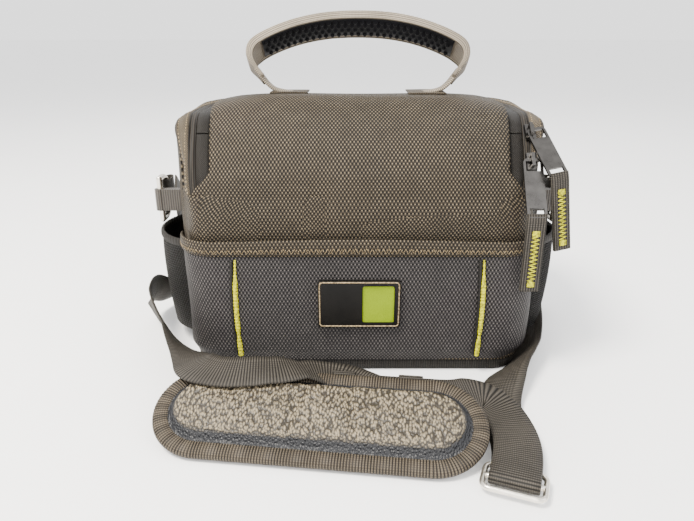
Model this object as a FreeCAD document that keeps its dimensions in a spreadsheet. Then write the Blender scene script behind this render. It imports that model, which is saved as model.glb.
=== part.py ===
import FreeCAD, Part
import math
import os

import Sketcher

from FreeCAD import Placement, Rotation, Vector

# Camera bag: a padded bag with a front-hinged lid, a U-shaped zip, a carry handle and a shoulder strap.
# Millimetres. +X is the bag's right as seen from the front, +Y its back, +Z up. The origin is the middle
# of the base, on the surface that the bag stands on.

os.makedirs("parts", exist_ok=True)
doc = FreeCAD.newDocument("camera_bag")
X, Y, Z = Vector(1, 0, 0), Vector(0, 1, 0), Vector(0, 0, 1)

# ---------------------------------------------------------------- driving dimensions
DIMENSIONS = {
    # plan of the bag
    "front_half": 108,
    "side_half": 122,
    "back_half": 114,
    "half_depth": 65,
    "corner_radius": 20,
    # side profile of the loaf-shaped top
    "slope_start": 104,
    "slope_mid_back": 20,
    "slope_mid_height": 143,
    "crest_y": -5,
    "top_height": 168,
    "top_back_y": 40,
    "back_shoulder": 146,
    # front profile of the top
    "shoulder_half": 124,
    "shoulder_start": 142,
    "shoulder_end": 97,
    "shoulder_end_height": 163,
    "crown_height": 169,
    # layers, from the outside in
    "cover": 2,
    "foam": 6,
    "lining": 1,
    "gap": 0.3,
    # base
    "base_height": 8,
    "base_wall": 3,
    "board": 3,
    "binding_height": 6,
    "binding": 1.6,
    # lid
    "lid_front_half": 91,
    "lid_back_half": 98,
    "lid_back": 36,
    "lid_round": 22,
    "lid_proud": 3,
    "hinge_gap": 0.6,
    "hinge_height": 120,
    "hinge_y": -64,
    # padded divider
    "divider_thick": 8,
    "divider_tall": 86,
    "divider_x": 18,
    "divider_gap": 1.5,
    # zip, measured outwards from the lid's edge
    "lid_tape": 10,
    "coil": 4,
    "body_tape": 6,
    "fixed_tape_top": 152,
    "tape": 1.2,
    "zip_edge": 3,
    # handle
    "handle_half": 76,
    "handle_rise": 39,
    "handle_foot": 66,
    "handle_wide": 25,
    "handle_thick": 6,
    "handle_y": 24,
    "handle_pivot": 184,
    "handle_lean": 33,
    "handle_boss": 4,
    "handle_grip": 2.4,
    "handle_patch": 26,
    # front pocket
    "pocket_ends": -46,
    "pocket_top": 93,
    "pocket_low": 12,
    "pocket_thick": 1.6,
    "pocket_hollow": 4.6,
    "hem": 11,
    "piping_x": 77.5,
    "piping": 2.6,
    "badge_wide": 52,
    "badge_tall": 32,
    "badge_thick": 2.4,
    "badge_z": 51,
    "accent": 20,
    # side pockets
    "mesh_half": 44,
    "mesh_bulge": 15,
    "mesh_top": 82.5,
    "mesh_low": 12,
    "mesh": 1.2,
    "mesh_hem": 6,
    # rings and webbing
    "webbing": 25,
    "webbing_thick": 1.6,
    "wire_radius": 1.9,
    "ring_x": 138,
    "ring_y": -8,
    "ring_z": 102,
    "ring_tab": 15,
    "ring_bow": 14.5,
    "ring_leg": 6,
    # pulls
    "slider_wide": 6,
    "slider_long": 11,
    "slider_thick": 2.6,
    "slider_front_y": -51,
    "slider_rear_y": -37,
    "plate_wide": 12,
    "plate_long": 38,
    "plate_thick": 1.4,
    "tab_wide": 12.5,
    "tab_long": 48,
    "tab_thick": 3.4,
    "pull_eye": 6.4,
    "pull_slot": 4,
    "pull_slant": 14,
    # shoulder pad
    "pad_half": 93,
    "pad_radius": 31,
    "pad_pillow": 7.5,
    "pad_binding": 9,
    "pad_backing": 2,
    "pad_tilt": 18,
    "pad_turn": -7,
    "pad_x": -24,
    "pad_y": -139,
    "pad_z": 13.8,
    "pad_strap_y": 24,
    "keeper": 14,
    # slide buckle
    "buckle_wide": 33,
    "buckle_long": 21,
    "buckle_bar": 3,
}


def make_sheet():
    """The driving dimensions as a spreadsheet whose cells have aliases."""
    made = doc.addObject("Spreadsheet::Sheet", "dims")
    for row, (alias, value) in enumerate(DIMENSIONS.items(), start=1):
        made.set(f"A{row}", alias)
        made.set(f"B{row}", str(value))
        made.setAlias(f"B{row}", alias)
    doc.recompute()
    return made


sheet = make_sheet()
subparts = []


def dim(alias):
    """A driving dimension's value, from the sheet."""
    return float(sheet.get(alias))


def keep(piece, label):
    """Marks an object as a sub-part and names it."""
    piece.Label = label
    subparts.append(piece)
    return piece


def feature(label, shape, placement=None):
    """A sub-part whose shape is made with Part's own functions."""
    made = doc.addObject("Part::Feature", label)
    made.Shape = shape
    if placement is not None:
        made.Placement = placement
    return keep(made, label)


# ---------------------------------------------------------------- PartDesign helpers
def origin_plane(body, role):
    return next(p for p in body.Origin.OriginFeatures if p.Role == role)


def rectangle_sketch(body, name, role, wide, tall, centre=(0, 0), lift=0):
    """A rectangle about a centre on one of the body's planes, with its two sizes bound to expressions."""
    sketch = body.newObject("Sketcher::SketchObject", name)
    sketch.AttachmentSupport = [(origin_plane(body, role), "")]
    sketch.MapMode = "FlatFace"
    sketch.AttachmentOffset = Placement(Vector(centre[0], centre[1], lift), Rotation())
    corners = [Vector(-1, -1, 0), Vector(1, -1, 0), Vector(1, 1, 0), Vector(-1, 1, 0)]
    for i in range(4):
        sketch.addGeometry(Part.LineSegment(corners[i], corners[(i + 1) % 4]))
    for i in range(4):
        sketch.addConstraint(Sketcher.Constraint("Coincident", i, 2, (i + 1) % 4, 1))
        sketch.addConstraint(Sketcher.Constraint("Vertical" if i % 2 else "Horizontal", i))
    sketch.addConstraint(Sketcher.Constraint("Symmetric", 0, 1, 1, 2, -1, 1))
    for edge, kind, size in ((0, "DistanceX", wide), (1, "DistanceY", tall)):
        at = sketch.addConstraint(Sketcher.Constraint(kind, edge, 1, edge, 2, 1.0))
        sketch.renameConstraint(at, kind)
        sketch.setExpression(f"Constraints.{kind}", size)
    return sketch


def padded_block(label, role, wide, tall, thick, placement, rounding=None):
    """A PartDesign body: a rectangle padded to a thickness, with its long corners rounded."""
    body = doc.addObject("PartDesign::Body", label)
    pad = body.newObject("PartDesign::Pad", label + "_pad")
    pad.Profile = rectangle_sketch(body, label + "_outline", role, wide, tall)
    pad.setExpression("Length", thick)
    pad.Midplane = True
    doc.recompute()
    if rounding:
        normal = {"XY_Plane": Z, "XZ_Plane": Y, "YZ_Plane": X}[role]
        along = [
            f"Edge{i}"
            for i, edge in enumerate(pad.Shape.Edges, start=1)
            if abs(abs(edge.tangentAt(edge.FirstParameter).dot(normal)) - 1) < 1e-6
        ]
        fillet = body.newObject("PartDesign::Fillet", label + "_corners")
        fillet.Base = (pad, along)
        fillet.setExpression("Radius", rounding)
        doc.recompute()
    body.Placement = placement
    return keep(body, label)


def cut_window(body, name, role, wide, tall, centre):
    """A rectangular window right through a PartDesign body."""
    before = body.Shape.Volume
    pocket = body.newObject("PartDesign::Pocket", name)
    pocket.Profile = rectangle_sketch(body, name + "_outline", role, wide, tall, centre)
    pocket.Type = "ThroughAll"
    pocket.Midplane = True
    doc.recompute()
    assert body.Shape.Volume < before - 1, name
    return pocket


# ---------------------------------------------------------------- the loaf shape and its shells
BEYOND = 200  # a length past every side of the bag
CLEAR = 0.1  # the slit between pieces that lie on each other
SLOPE_NORMAL = (0.72, 0.69)  # back and down, across the middle of the front slope
BACK_BULGE = (0.68, 0.7)  # how far towards the outside and the top the back shoulder's arc passes
SIDE_BULGE = (0.73, 0.74)  # the same for the two side shoulders


def arc(start, through, end):
    return Part.Arc(start, through, end).toShape()


def line(start, end):
    return Part.LineSegment(start, end).toShape()


def plan(inset):
    """The bag's outline from above: straight front and back, bowed sides, round corners."""
    deep, radius = dim("half_depth"), dim("corner_radius")
    corner = radius - inset
    diagonal = corner * math.sqrt(0.5)
    front_x, back_x = dim("front_half") - radius, dim("back_half") - radius
    front_y, back_y = radius - deep, deep - radius
    middle = dim("side_half") - inset
    front_end = Vector(front_x + corner, front_y, 0)
    back_end = Vector(back_x + corner, back_y, 0)
    right = [
        arc(
            Vector(front_x, front_y - corner, 0),
            Vector(front_x + diagonal, front_y - diagonal, 0),
            front_end,
        ),
        arc(front_end, Vector(middle, 0, 0), back_end),
        arc(
            back_end,
            Vector(back_x + diagonal, back_y + diagonal, 0),
            Vector(back_x, back_y + corner, 0),
        ),
    ]
    left = [edge.mirror(Vector(0, 0, 0), X) for edge in right]
    edges = right + left
    edges.append(line(Vector(-front_x, front_y - corner, 0), Vector(front_x, front_y - corner, 0)))
    edges.append(line(Vector(-back_x, back_y + corner, 0), Vector(back_x, back_y + corner, 0)))
    return Part.Wire(Part.__sortEdges__(edges))


def part_way(start, end, sideways, down):
    """A point between two others, with one share for its X and Y and another for its height."""
    level = start + (end - start) * sideways
    return Vector(level.x, level.y, start.z + (end.z - start.z) * down)


def slope_points(inset):
    """Start, middle and end of the front slope's arc, in the YZ plane."""
    deep = dim("half_depth")
    start = Vector(0, inset - deep, dim("slope_start"))
    back, down = (share * inset for share in SLOPE_NORMAL)
    middle = Vector(0, dim("slope_mid_back") - deep + back, dim("slope_mid_height") - down)
    end = Vector(0, dim("crest_y"), dim("top_height") - inset)
    return start, middle, end


def side_profile(inset):
    """The loaf seen from the side: a long front slope, a flat top and a round back shoulder."""
    deep, top = dim("half_depth") - inset, dim("top_height") - inset
    start, middle, end = slope_points(inset)
    back_top = Vector(0, dim("top_back_y"), top)
    back_low = Vector(0, deep, dim("back_shoulder"))
    bulge = part_way(back_top, back_low, BACK_BULGE[0], 1 - BACK_BULGE[1])
    edges = [
        line(Vector(0, -deep, -BEYOND), start),
        arc(start, middle, end),
        line(end, back_top),
        arc(back_top, bulge, back_low),
        line(back_low, Vector(0, deep, -BEYOND)),
        line(Vector(0, deep, -BEYOND), Vector(0, -deep, -BEYOND)),
    ]
    return Part.Wire(edges)


def front_profile(inset):
    """The loaf seen from the front: upright sides, round shoulders and a crowned top."""
    low = Vector(dim("shoulder_half") - inset, 0, dim("shoulder_start"))
    high = Vector(dim("shoulder_end"), 0, dim("shoulder_end_height") - inset)
    bulge = part_way(high, low, SIDE_BULGE[0], 1 - SIDE_BULGE[1])
    crown = Vector(0, 0, dim("crown_height") - inset)

    def mirrored(point):
        return Vector(-point.x, point.y, point.z)

    foot = Vector(low.x, 0, -BEYOND)
    edges = [
        line(foot, low),
        arc(low, bulge, high),
        arc(high, crown, mirrored(high)),
        arc(mirrored(high), mirrored(bulge), mirrored(low)),
        line(mirrored(low), mirrored(foot)),
        line(mirrored(foot), foot),
    ]
    return Part.Wire(edges)


def loaf(inset, floor=0):
    """The bag's whole outer shape moved inwards by inset, from floor up."""
    upright = Part.Face(plan(inset)).extrude(Z * BEYOND)
    upright.translate(Z * floor)
    across = Part.Face(side_profile(inset)).extrude(X * 2 * BEYOND)
    across.translate(-X * BEYOND)
    along = Part.Face(front_profile(inset)).extrude(Y * 2 * BEYOND)
    along.translate(-Y * BEYOND)
    return upright.common(across).common(along)


def shell(outside, inside, floor=0, floor_thick=0):
    """The layer between two insets; with no floor_thick it has no bottom."""
    return loaf(outside, floor).cut(loaf(inside, floor + floor_thick if floor_thick else floor - 1))


def mouth_half(y):
    """The lid's half width at a place y: it grows from the front to the back."""
    deep = dim("half_depth")
    share = min(1, max(0, (y + deep) / deep))
    return dim("lid_front_half") + share * (dim("lid_back_half") - dim("lid_front_half"))


def mouth(spread, low=None):
    """The upright prism that the lid fills, spread outwards, with round back corners."""
    half, back = dim("lid_back_half") + spread, dim("lid_back") + spread
    radius = dim("lid_round") + spread
    front_half, front = dim("lid_front_half") + spread, -dim("half_depth")
    diagonal = radius * (1 - math.sqrt(0.5))
    corners = [
        Vector(front_half, -BEYOND, 0),
        Vector(front_half, front, 0),
        Vector(half, 0, 0),
        Vector(half, back - radius, 0),
        Vector(half - diagonal, back - diagonal, 0),
        Vector(half - radius, back, 0),
    ]
    mirrored = [Vector(-c.x, c.y, 0) for c in corners]
    edges = [line(corners[i], mirrored[i]) for i in (0, 5)]
    for side in (corners, mirrored):
        edges += [line(side[i], side[i + 1]) for i in range(3)]
        edges.append(arc(side[3], side[4], side[5]))
    prism = Part.Face(Part.Wire(Part.__sortEdges__(edges))).extrude(Z * BEYOND)
    prism.translate(Z * (dim("hinge_height") if low is None else low))
    return prism


def box(low, high):
    return Part.makeBox(*(b - a for a, b in zip(low, high)), Vector(*low))


def wall_region(name):
    """The quarter of space that holds one wall: the quarters meet at 45 degrees at the round corners."""
    deep = dim("half_depth") - dim("corner_radius")
    front_x, back_x = dim("front_half") - dim("corner_radius"), dim("back_half") - dim("corner_radius")
    far = [(front_x + BEYOND, -deep - BEYOND), (back_x + BEYOND, deep + BEYOND)]
    near = [(front_x, -deep), (back_x, deep)]
    outline = {
        "front": [near[0], far[0], (-far[0][0], far[0][1]), (-near[0][0], near[0][1])],
        "back": [near[1], far[1], (-far[1][0], far[1][1]), (-near[1][0], near[1][1])],
        "right": [near[0], far[0], far[1], near[1]],
        "left": [(-x, y) for x, y in (near[0], far[0], far[1], near[1])],
    }[name]
    points = [Vector(x, y, -1) for x, y in outline + outline[:1]]
    return Part.Face(Part.makePolygon(points)).extrude(Z * BEYOND)


def solid(shape):
    """The largest solid of a cut, without the slivers that a cut can leave."""
    return max(shape.Solids, key=lambda s: s.Volume)


# ---------------------------------------------------------------- body of the bag
cover, foam, lining, gap = dim("cover"), dim("foam"), dim("lining"), dim("gap")
base_top = dim("base_height")
zip_spread = dim("lid_tape") + gap  # where the coil starts
body_spread = zip_spread + dim("coil")
outer_spread = body_spread + dim("body_tape")
foam_out, lining_out = cover + CLEAR, cover + foam + 2 * CLEAR
room_inset = lining_out + lining


def make_base():
    """A moulded boot with a flat floor, a stiff board in it and a ribbed tape round its edge."""
    deep = dim("base_wall")
    boot = Part.Face(plan(0)).extrude(Z * base_top)
    hollow = Part.Face(plan(cover)).extrude(Z * base_top)
    hollow.translate(Z * deep)
    feature("base_boot", boot.cut(hollow))
    padded_block(
        "base_board",
        "XY_Plane",
        "dims.back_half * 2 - dims.corner_radius",
        "dims.half_depth * 2 - dims.corner_radius",
        "dims.board",
        Placement(Z * (deep + dim("board") / 2 + CLEAR), Rotation()),
        "dims.corner_radius / 2",
    )
    ring = Part.Face(plan(-dim("binding"))).extrude(Z * dim("binding_height"))
    inner = Part.Face(plan(-CLEAR / 2)).extrude(Z * dim("binding_height"))
    binding = ring.cut(inner)
    binding.translate(Z * (base_top - dim("binding_height")) / 2)
    feature("base_binding", binding)


def make_walls():
    """Each wall is a cover, a foam and a share of the one-piece lining."""
    layers = (("cover", 0, cover), ("foam", foam_out, cover + foam))
    below_lid = dim("hinge_height") - dim("hinge_gap")
    for layer, outside, inside in layers:
        spread = outer_spread + gap if layer == "cover" else zip_spread + gap
        skin = shell(outside, inside, base_top + CLEAR).cut(mouth(spread, below_lid))
        if layer == "cover":
            skin = skin.fuse(hinge_strip(outside, inside)).removeSplitter()
        for name in ("front", "back", "left", "right"):
            feature(f"{name}_{layer}", solid(skin.common(wall_region(name))))
    inner = shell(lining_out, room_inset, base_top + CLEAR, lining)
    feature("lining", inner.cut(mouth(zip_spread + gap, below_lid)))


def hinge_strip(outside, inside):
    """The part of the front cover beside the zip's two lower ends, up to the height of the hinge."""
    low = dim("hinge_height") - 2
    high = dim("hinge_height") - dim("hinge_gap")
    return shell(outside, inside, low).common(box((-BEYOND, -BEYOND, low), (BEYOND, 0, high)))


def make_divider():
    """A padded divider that stands across the compartment and slides along it."""
    floor = base_top + lining + 1
    padded_block(
        "divider",
        "XY_Plane",
        "dims.divider_thick",
        f"(dims.half_depth - {room_inset} - dims.divider_gap) * 2",
        "dims.divider_tall",
        Placement(Vector(dim("divider_x"), 0, floor + dim("divider_tall") / 2), Rotation()),
        "3 mm",
    )


# ---------------------------------------------------------------- lid
def make_lid():
    """A hood of cover, foam and lining that turns about the front edge at the hinge height."""
    proud = dim("lid_proud")
    lining_in = foam + CLEAR
    layers = (
        ("lid_cover", -proud, 0, gap),
        ("lid_foam", CLEAR, foam, 1),
        ("lid_lining", lining_in, lining_in + lining, 1.5),
    )
    for label, outside, inside, narrower in layers:
        feature(label, solid(shell(outside, inside).common(mouth(-narrower))))


def zip_band(near, far, out, depth):
    """A strip of the loaf's surface between two spreads of the lid's outline."""
    low = dim("hinge_height")
    band = mouth(far, low).cut(mouth(near, low - 1))
    return shell(out, out + depth).common(band)


def make_zip():
    """Two halves of the tape with the coil between; the tape's lowest lid-side ends stay with the body."""
    tape, under = dim("tape"), 0.3
    coil_side_room = 1.6
    lid_side = zip_band(gap, dim("lid_tape") - coil_side_room, under, tape)
    fixed = box((-BEYOND, -BEYOND, 0), (BEYOND, 0, dim("fixed_tape_top")))
    above_hinge = box((-BEYOND, -BEYOND, dim("fixed_tape_top") + 4 * CLEAR), (BEYOND, BEYOND, BEYOND))
    back_half = box((-BEYOND, 0, dim("hinge_height") + 1), (BEYOND, BEYOND, BEYOND))
    feature("zip_tape_lid", solid(lid_side.common(above_hinge.fuse(back_half))))
    ends = lid_side.common(fixed).common(box((-BEYOND, -BEYOND, dim("hinge_height")), (BEYOND, 0, BEYOND)))
    feature("zip_tape_ends", Part.makeCompound(sorted(ends.Solids, key=lambda s: -s.Volume)[:2]))
    coil_rise, coil_thick = 0.6, 2.4
    feature("zip_coil", solid(zip_band(zip_spread, body_spread, -coil_rise, coil_thick)))
    feature("zip_tape_body", solid(zip_band(body_spread + CLEAR, outer_spread, 2 * CLEAR, tape)))
    edge_rise, edge_thick = 0.8, 0.75
    edge = zip_band(outer_spread + CLEAR, outer_spread + dim("zip_edge"), -edge_rise, edge_thick)
    feature("grosgrain_edge", solid(edge))


make_base()
make_walls()
make_divider()
make_lid()
make_zip()


# ---------------------------------------------------------------- carry handle
def handle_placement():
    """Stands the handle on its pivot line and leans it back."""
    return Placement(
        Vector(0, dim("handle_y"), dim("handle_pivot")), Rotation(X, -dim("handle_lean"))
    )


def arch(out_by, thick, wide):
    """A band along the handle's arc, in the XZ plane about the pivot line: its outer face is out_by out."""
    half, rise = dim("handle_half"), dim("handle_rise")
    radius = (half**2 + rise**2) / (2 * rise)
    centre = rise - radius
    edges = []
    for r in (radius + out_by, radius + out_by - thick):
        end = math.sqrt(r**2 - centre**2)
        edges.append(arc(Vector(-end, 0, 0), Vector(0, 0, centre + r), Vector(end, 0, 0)))
    outer, inner = edges
    for i in (0, 1):
        edges.append(line(outer.Vertexes[i].Point, inner.Vertexes[i].Point))
    face = Part.Face(Part.Wire(Part.__sortEdges__(edges)))
    band = face.extrude(Y * wide)
    band.translate(-Y * wide / 2)
    return band


def make_handle():
    """An arched band with round ends that turn on the lid's webbing feet, and a studded pad below it."""
    wide, thick, half = dim("handle_wide"), dim("handle_thick"), dim("handle_half")
    band = arch(thick / 2, thick, wide)
    boss_end = dim("handle_foot") + 3
    for side in (1, -1):
        disc = Part.makeCylinder(wide / 2, thick, Vector(side * (half - thick / 2), 0, 0), X * side)
        boss = Part.makeCylinder(dim("handle_boss"), half - boss_end, X * side * boss_end, X * side)
        band = band.fuse([disc, boss])
    feature("handle_band", band.removeSplitter(), handle_placement())
    grip_narrower, grip_end, grip_low = 4, 14, 8
    grip = arch(-thick / 2 - CLEAR, dim("handle_grip"), wide - grip_narrower)
    middle = box((grip_end - half, -wide, grip_low), (half - grip_end, wide, BEYOND))
    feature("handle_pad", grip.common(middle), handle_placement())


def make_handle_feet():
    """Two webbing tabs that rise from the lid to the handle's ends, each sewn down under a square patch."""
    foot, top, y = dim("handle_foot"), dim("handle_pivot") + 1, dim("handle_y")
    wide, thick, half_patch = 7.2, 2.4, dim("handle_patch") / 2
    low, high = foot - 6, foot + 0.2
    patch_in = 18
    inside_lid = dim("top_height") - 8
    lid_top = loaf(-dim("lid_proud") - CLEAR)
    patch_layer = loaf(-dim("lid_proud") - CLEAR - dim("webbing_thick")).cut(lid_top)
    feet, patches = [], []
    for side in (1, -1):
        corners = [(low, inside_lid), (low + thick, inside_lid), (high + thick, top), (high, top)]
        outline = [Vector(side * x, y - wide / 2, z) for x, z in corners + corners[:1]]
        feet.append(Part.Face(Part.makePolygon(outline)).extrude(Y * wide).cut(lid_top))
        middle = Vector(side * (foot - patch_in), y, 0)
        patch = box((-half_patch, -half_patch - 1, inside_lid), (half_patch, half_patch + 1, BEYOND))
        patch.translate(middle)
        patches.append(patch.common(patch_layer))
    feature("handle_feet", Part.makeCompound(feet))
    feature("handle_patches", Part.makeCompound(patches))


# ---------------------------------------------------------------- front pocket
def plan_ring(outside, inside, low, high):
    """An upright wall between two insets of the plan outline."""
    ring = Part.Face(plan(outside)).cut(Part.Face(plan(inside)))
    wall = ring.extrude(Z * (high - low))
    wall.translate(Z * low)
    return wall


def make_front_pocket():
    """A slip pocket that wraps the front corners, with a doubled hem along its top."""
    low, top, hem = dim("pocket_low"), dim("pocket_top"), dim("hem")
    seam_top = top - hem - CLEAR
    inside = -dim("pocket_hollow")
    outside = inside - dim("pocket_thick")
    ends, end_seam, hem_proud = dim("pocket_ends"), 2, 0.8
    ahead = box((-BEYOND, -BEYOND, 0), (BEYOND, ends, BEYOND))
    wall = plan_ring(outside, inside, low, seam_top)
    floor = plan_ring(outside, -CLEAR, low, low + dim("pocket_thick"))
    seam = box((-BEYOND, ends - end_seam, low), (BEYOND, ends, seam_top))
    sides = plan_ring(outside, -CLEAR, low, seam_top).common(seam)
    feature("pocket_panel", wall.fuse([floor, sides]).common(ahead).removeSplitter())
    feature("pocket_hem", plan_ring(outside - hem_proud, inside, top - hem, top).common(ahead))


def make_pocket_trim():
    """Two lines of piping down the pocket, and between them a badge with a coloured square."""
    low = dim("pocket_low") + 2
    face = -dim("half_depth") - dim("pocket_hollow") - dim("pocket_thick")
    piping_tall = dim("pocket_top") - dim("hem") - dim("pocket_low") - 4
    piping_out = 0.75
    for name, side in (("left", -1), ("right", 1)):
        middle = Vector(side * dim("piping_x"), face - piping_out, low + piping_tall / 2)
        padded_block(
            f"piping_{name}",
            "XY_Plane",
            "dims.piping",
            "1.4 mm",
            "dims.pocket_top - dims.hem - dims.pocket_low - 4",
            Placement(middle, Rotation()),
            "0.5 mm",
        )
    at = Vector(0, face - CLEAR - dim("badge_thick") / 2, dim("badge_z"))
    badge = padded_block(
        "badge",
        "XZ_Plane",
        "dims.badge_wide",
        "dims.badge_tall",
        "dims.badge_thick",
        Placement(at, Rotation()),
        "2 mm",
    )
    border, set_back = 4, 0.3
    accent_x = dim("badge_wide") / 2 - dim("accent") / 2 - border
    window = ("dims.accent + 0.2", "dims.badge_tall - 6.8")
    cut_window(badge, "badge_window", "XZ_Plane", *window, (accent_x, 0))
    padded_block(
        "badge_accent",
        "XZ_Plane",
        "dims.accent",
        "dims.badge_tall - 7",
        "dims.badge_thick - 0.6",
        Placement(at + Vector(accent_x, set_back, 0), Rotation()),
        "0.8 mm",
    )


# ---------------------------------------------------------------- mesh pockets, rings and their tabs
def side_cup(outward, low, high):
    """The space between the bag's right side and a bowed outline that stands outward at its middle."""
    half = dim("mesh_half")
    middle = dim("side_half") + outward
    inside = 8  # the outline's two ends lie inside the bag's sides
    start = Vector(dim("front_half") - inside, -half, 0)
    end = Vector(dim("back_half") - inside, half, 0)
    bowed = arc(start, Vector(middle, 0, 0), end)
    face = Part.Face(Part.Wire([bowed, line(end, start)]))
    cup = face.extrude(Z * (high - low))
    cup.translate(Z * low)
    return cup


def on_both_sides(name, shape, placement=None):
    """The same piece on the right and, mirrored, on the left."""
    feature(f"{name}_right", shape, placement)
    feature(f"{name}_left", shape.mirror(Vector(0, 0, 0), X), placement)


def make_mesh_pockets():
    """A pocket of stretched mesh on each side, with an elastic hem."""
    bulge, mesh = dim("mesh_bulge"), dim("mesh")
    low, top, hem_low = dim("mesh_low"), dim("mesh_top"), dim("mesh_top") - dim("mesh_hem")
    hem_proud, pocket_room = 0.6, 1.2
    bag = Part.Face(plan(-CLEAR)).extrude(Z * BEYOND)
    around_pocket = plan(-dim("pocket_hollow") - dim("pocket_thick") - pocket_room)
    front = box((-BEYOND, -BEYOND, 0), (BEYOND, dim("pocket_ends") + gap, BEYOND))
    clear = bag.fuse(Part.Face(around_pocket).extrude(Z * BEYOND).common(front))
    wall = side_cup(bulge, low, hem_low - CLEAR).cut(side_cup(bulge - mesh, low + mesh, top))
    hem_inside = side_cup(bulge - mesh - hem_proud, hem_low - 1, top + 1)
    on_both_sides("mesh_pocket", wall.cut(clear))
    on_both_sides("mesh_hem", side_cup(bulge + hem_proud, hem_low, top).cut(hem_inside).cut(clear))


def d_ring():
    """A welded D-ring of round wire, its straight bar upright and its bow towards the back."""
    wire, bow, leg = dim("wire_radius"), dim("ring_bow"), dim("ring_leg")
    ends = [-Z * bow, Z * bow]
    ring = Part.makeTorus(bow, wire, Y * leg, X)
    ring = ring.common(box((-BEYOND, leg, -BEYOND), (BEYOND, BEYOND, BEYOND)))
    solids = [Part.makeCylinder(wire, leg, end, Y) for end in ends]
    solids.append(Part.makeCylinder(wire, 2 * bow, ends[0], Z))
    solids += [Part.makeSphere(wire, end) for end in ends]
    return ring.fuse(solids)


def make_rings():
    """On each side a sewn webbing tab, the D-ring in it and the strap's end loop round its bow."""
    x, y, z = dim("ring_x"), dim("ring_y"), dim("ring_z")
    wire, tab = dim("wire_radius"), dim("ring_tab")
    thick = dim("webbing_thick")
    centre = Vector(x, y, z)
    sleeve = Part.makeCylinder(wire + gap + thick, tab, centre - Z * tab / 2, Z)
    inside_wall = dim("side_half") - 4
    flat = box((inside_wall, y - 2 * thick, z - tab / 2), (x, y + 2 * thick, z + tab / 2))
    bag = Part.Face(plan(-CLEAR)).extrude(Z * BEYOND)
    bore = Part.makeCylinder(wire + gap, 2 * tab, centre - Z * tab, Z)
    on_both_sides("ring_tab", sleeve.fuse(flat).cut(bag).cut(bore).removeSplitter())
    ring = d_ring()
    ring.translate(centre)
    on_both_sides("d_ring", ring)
    clear, wide = wire + 0.4, dim("webbing") - 2
    loop_start, loop_end = 7, 30
    start, end = y + loop_start, y + loop_end
    loop = box((x - clear - thick, start, z - wide / 2), (x + clear + thick, end, z + wide / 2))
    hollow = box((x - clear, start + thick, z - wide), (x + clear, end - thick, z + wide))
    on_both_sides("strap_loop", loop.cut(hollow))


make_handle()
make_handle_feet()
make_front_pocket()
make_pocket_trim()
make_mesh_pockets()
make_rings()


# ---------------------------------------------------------------- sliders and pulls
def slope_circle():
    """Centre and radius of the front slope's arc, in the YZ plane."""
    curve = arc(*slope_points(0)).Curve
    return curve.Center, curve.Radius


def slope_angle(y):
    """How far from upright the slope's normal leans forward at a place y."""
    centre, radius = slope_circle()
    return math.degrees(math.asin((centre.y - y) / radius))


def make_slider(label, y):
    """A slider body with its bail: a saddle over the coil and a staple that holds the pull plate."""
    centre, radius = slope_circle()
    angle = slope_angle(y)
    wide, long, thick = dim("slider_wide"), dim("slider_long"), dim("slider_thick")
    x = mouth_half(y) + zip_spread + dim("coil") / 2
    lift = 1.6  # above the cover, over the coil
    top = lift + thick
    staple_half, staple_long, staple_tall, leg, sunk = 1, 4.2, 3.6, 1.1, 0.5
    inside_long = staple_long - leg
    saddle = box((-wide / 2, -long / 2, lift), (wide / 2, long / 2, top))
    staple = box((-staple_half, -staple_long, top - sunk), (staple_half, staple_long, top + staple_tall))
    tunnel = box((-wide, -inside_long, top), (wide, inside_long, top + staple_tall - leg))
    piece = saddle.fuse(staple.cut(tunnel)).removeSplitter()
    rotation = Rotation(X, angle)
    surface = centre + rotation.multVec(Z) * radius
    feature(label, piece, Placement(Vector(x, surface.y, surface.z), rotation))
    pivot_height = 1.2
    pivot = surface + rotation.multVec(Z) * (top + pivot_height)
    return Vector(x, pivot.y, pivot.z)


PIVOTS = {}  # each pull's two hinge points and the direction of both hinges


def make_pull(name, pivot, across, down):
    """A metal plate on the bail and a folded webbing tab through the plate's lower slot."""
    across.normalize()
    down.normalize()
    out = across.cross(down * -1)
    turn = Rotation(across, out, down * -1, "ZXY")
    long, end_bar = dim("plate_long"), 1.9
    above_pivot = 1
    middle = pivot + down * (long / 2 - above_pivot)
    plate = padded_block(
        f"pull_plate_{name}",
        "XZ_Plane",
        "dims.plate_wide",
        "dims.plate_long",
        "dims.plate_thick",
        Placement(middle, turn),
        "3 mm",
    )
    eye_z = long / 2 - end_bar - dim("pull_eye") / 2
    slot_z = end_bar + dim("pull_slot") / 2 - long / 2
    windows = (
        ("eye", "dims.plate_wide - 3", "dims.pull_eye", eye_z),
        ("slot", "dims.plate_wide - 3.4", "dims.pull_slot", slot_z),
    )
    for window, window_wide, window_tall, height in windows:
        cut_window(plate, f"plate_{window}_{name}", "XZ_Plane", window_wide, window_tall, (0, height))
    end = middle + turn.multVec(Z) * (slot_z - dim("pull_slot") / 2 - end_bar / 2 + 0.05)
    PIVOTS[name] = {"pivot": tuple(pivot), "tab": tuple(end), "across": tuple(across)}

    half, tab_thick = dim("tab_wide") / 2, dim("tab_thick")
    neck_half, neck_thick, neck_rise = 3.8, 2.4, 3.6  # the fold that goes through the plate's slot
    eye_half, eye_low, eye_high = 1.5, -2.2, 2.6  # where the plate's end bar lies in the fold
    folded = box((-half, -tab_thick / 2, -dim("tab_long")), (half, tab_thick / 2, -neck_rise))
    neck = box((-neck_half, -neck_thick, -neck_half), (neck_half, neck_thick, neck_rise))
    eye = box((-BEYOND, -eye_half, eye_low), (BEYOND, eye_half, eye_high))
    hang = Rotation(across, Y, Z, "XZY")
    feature(f"pull_tab_{name}", folded.fuse(neck.cut(eye)).removeSplitter(), Placement(end, hang))


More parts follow.
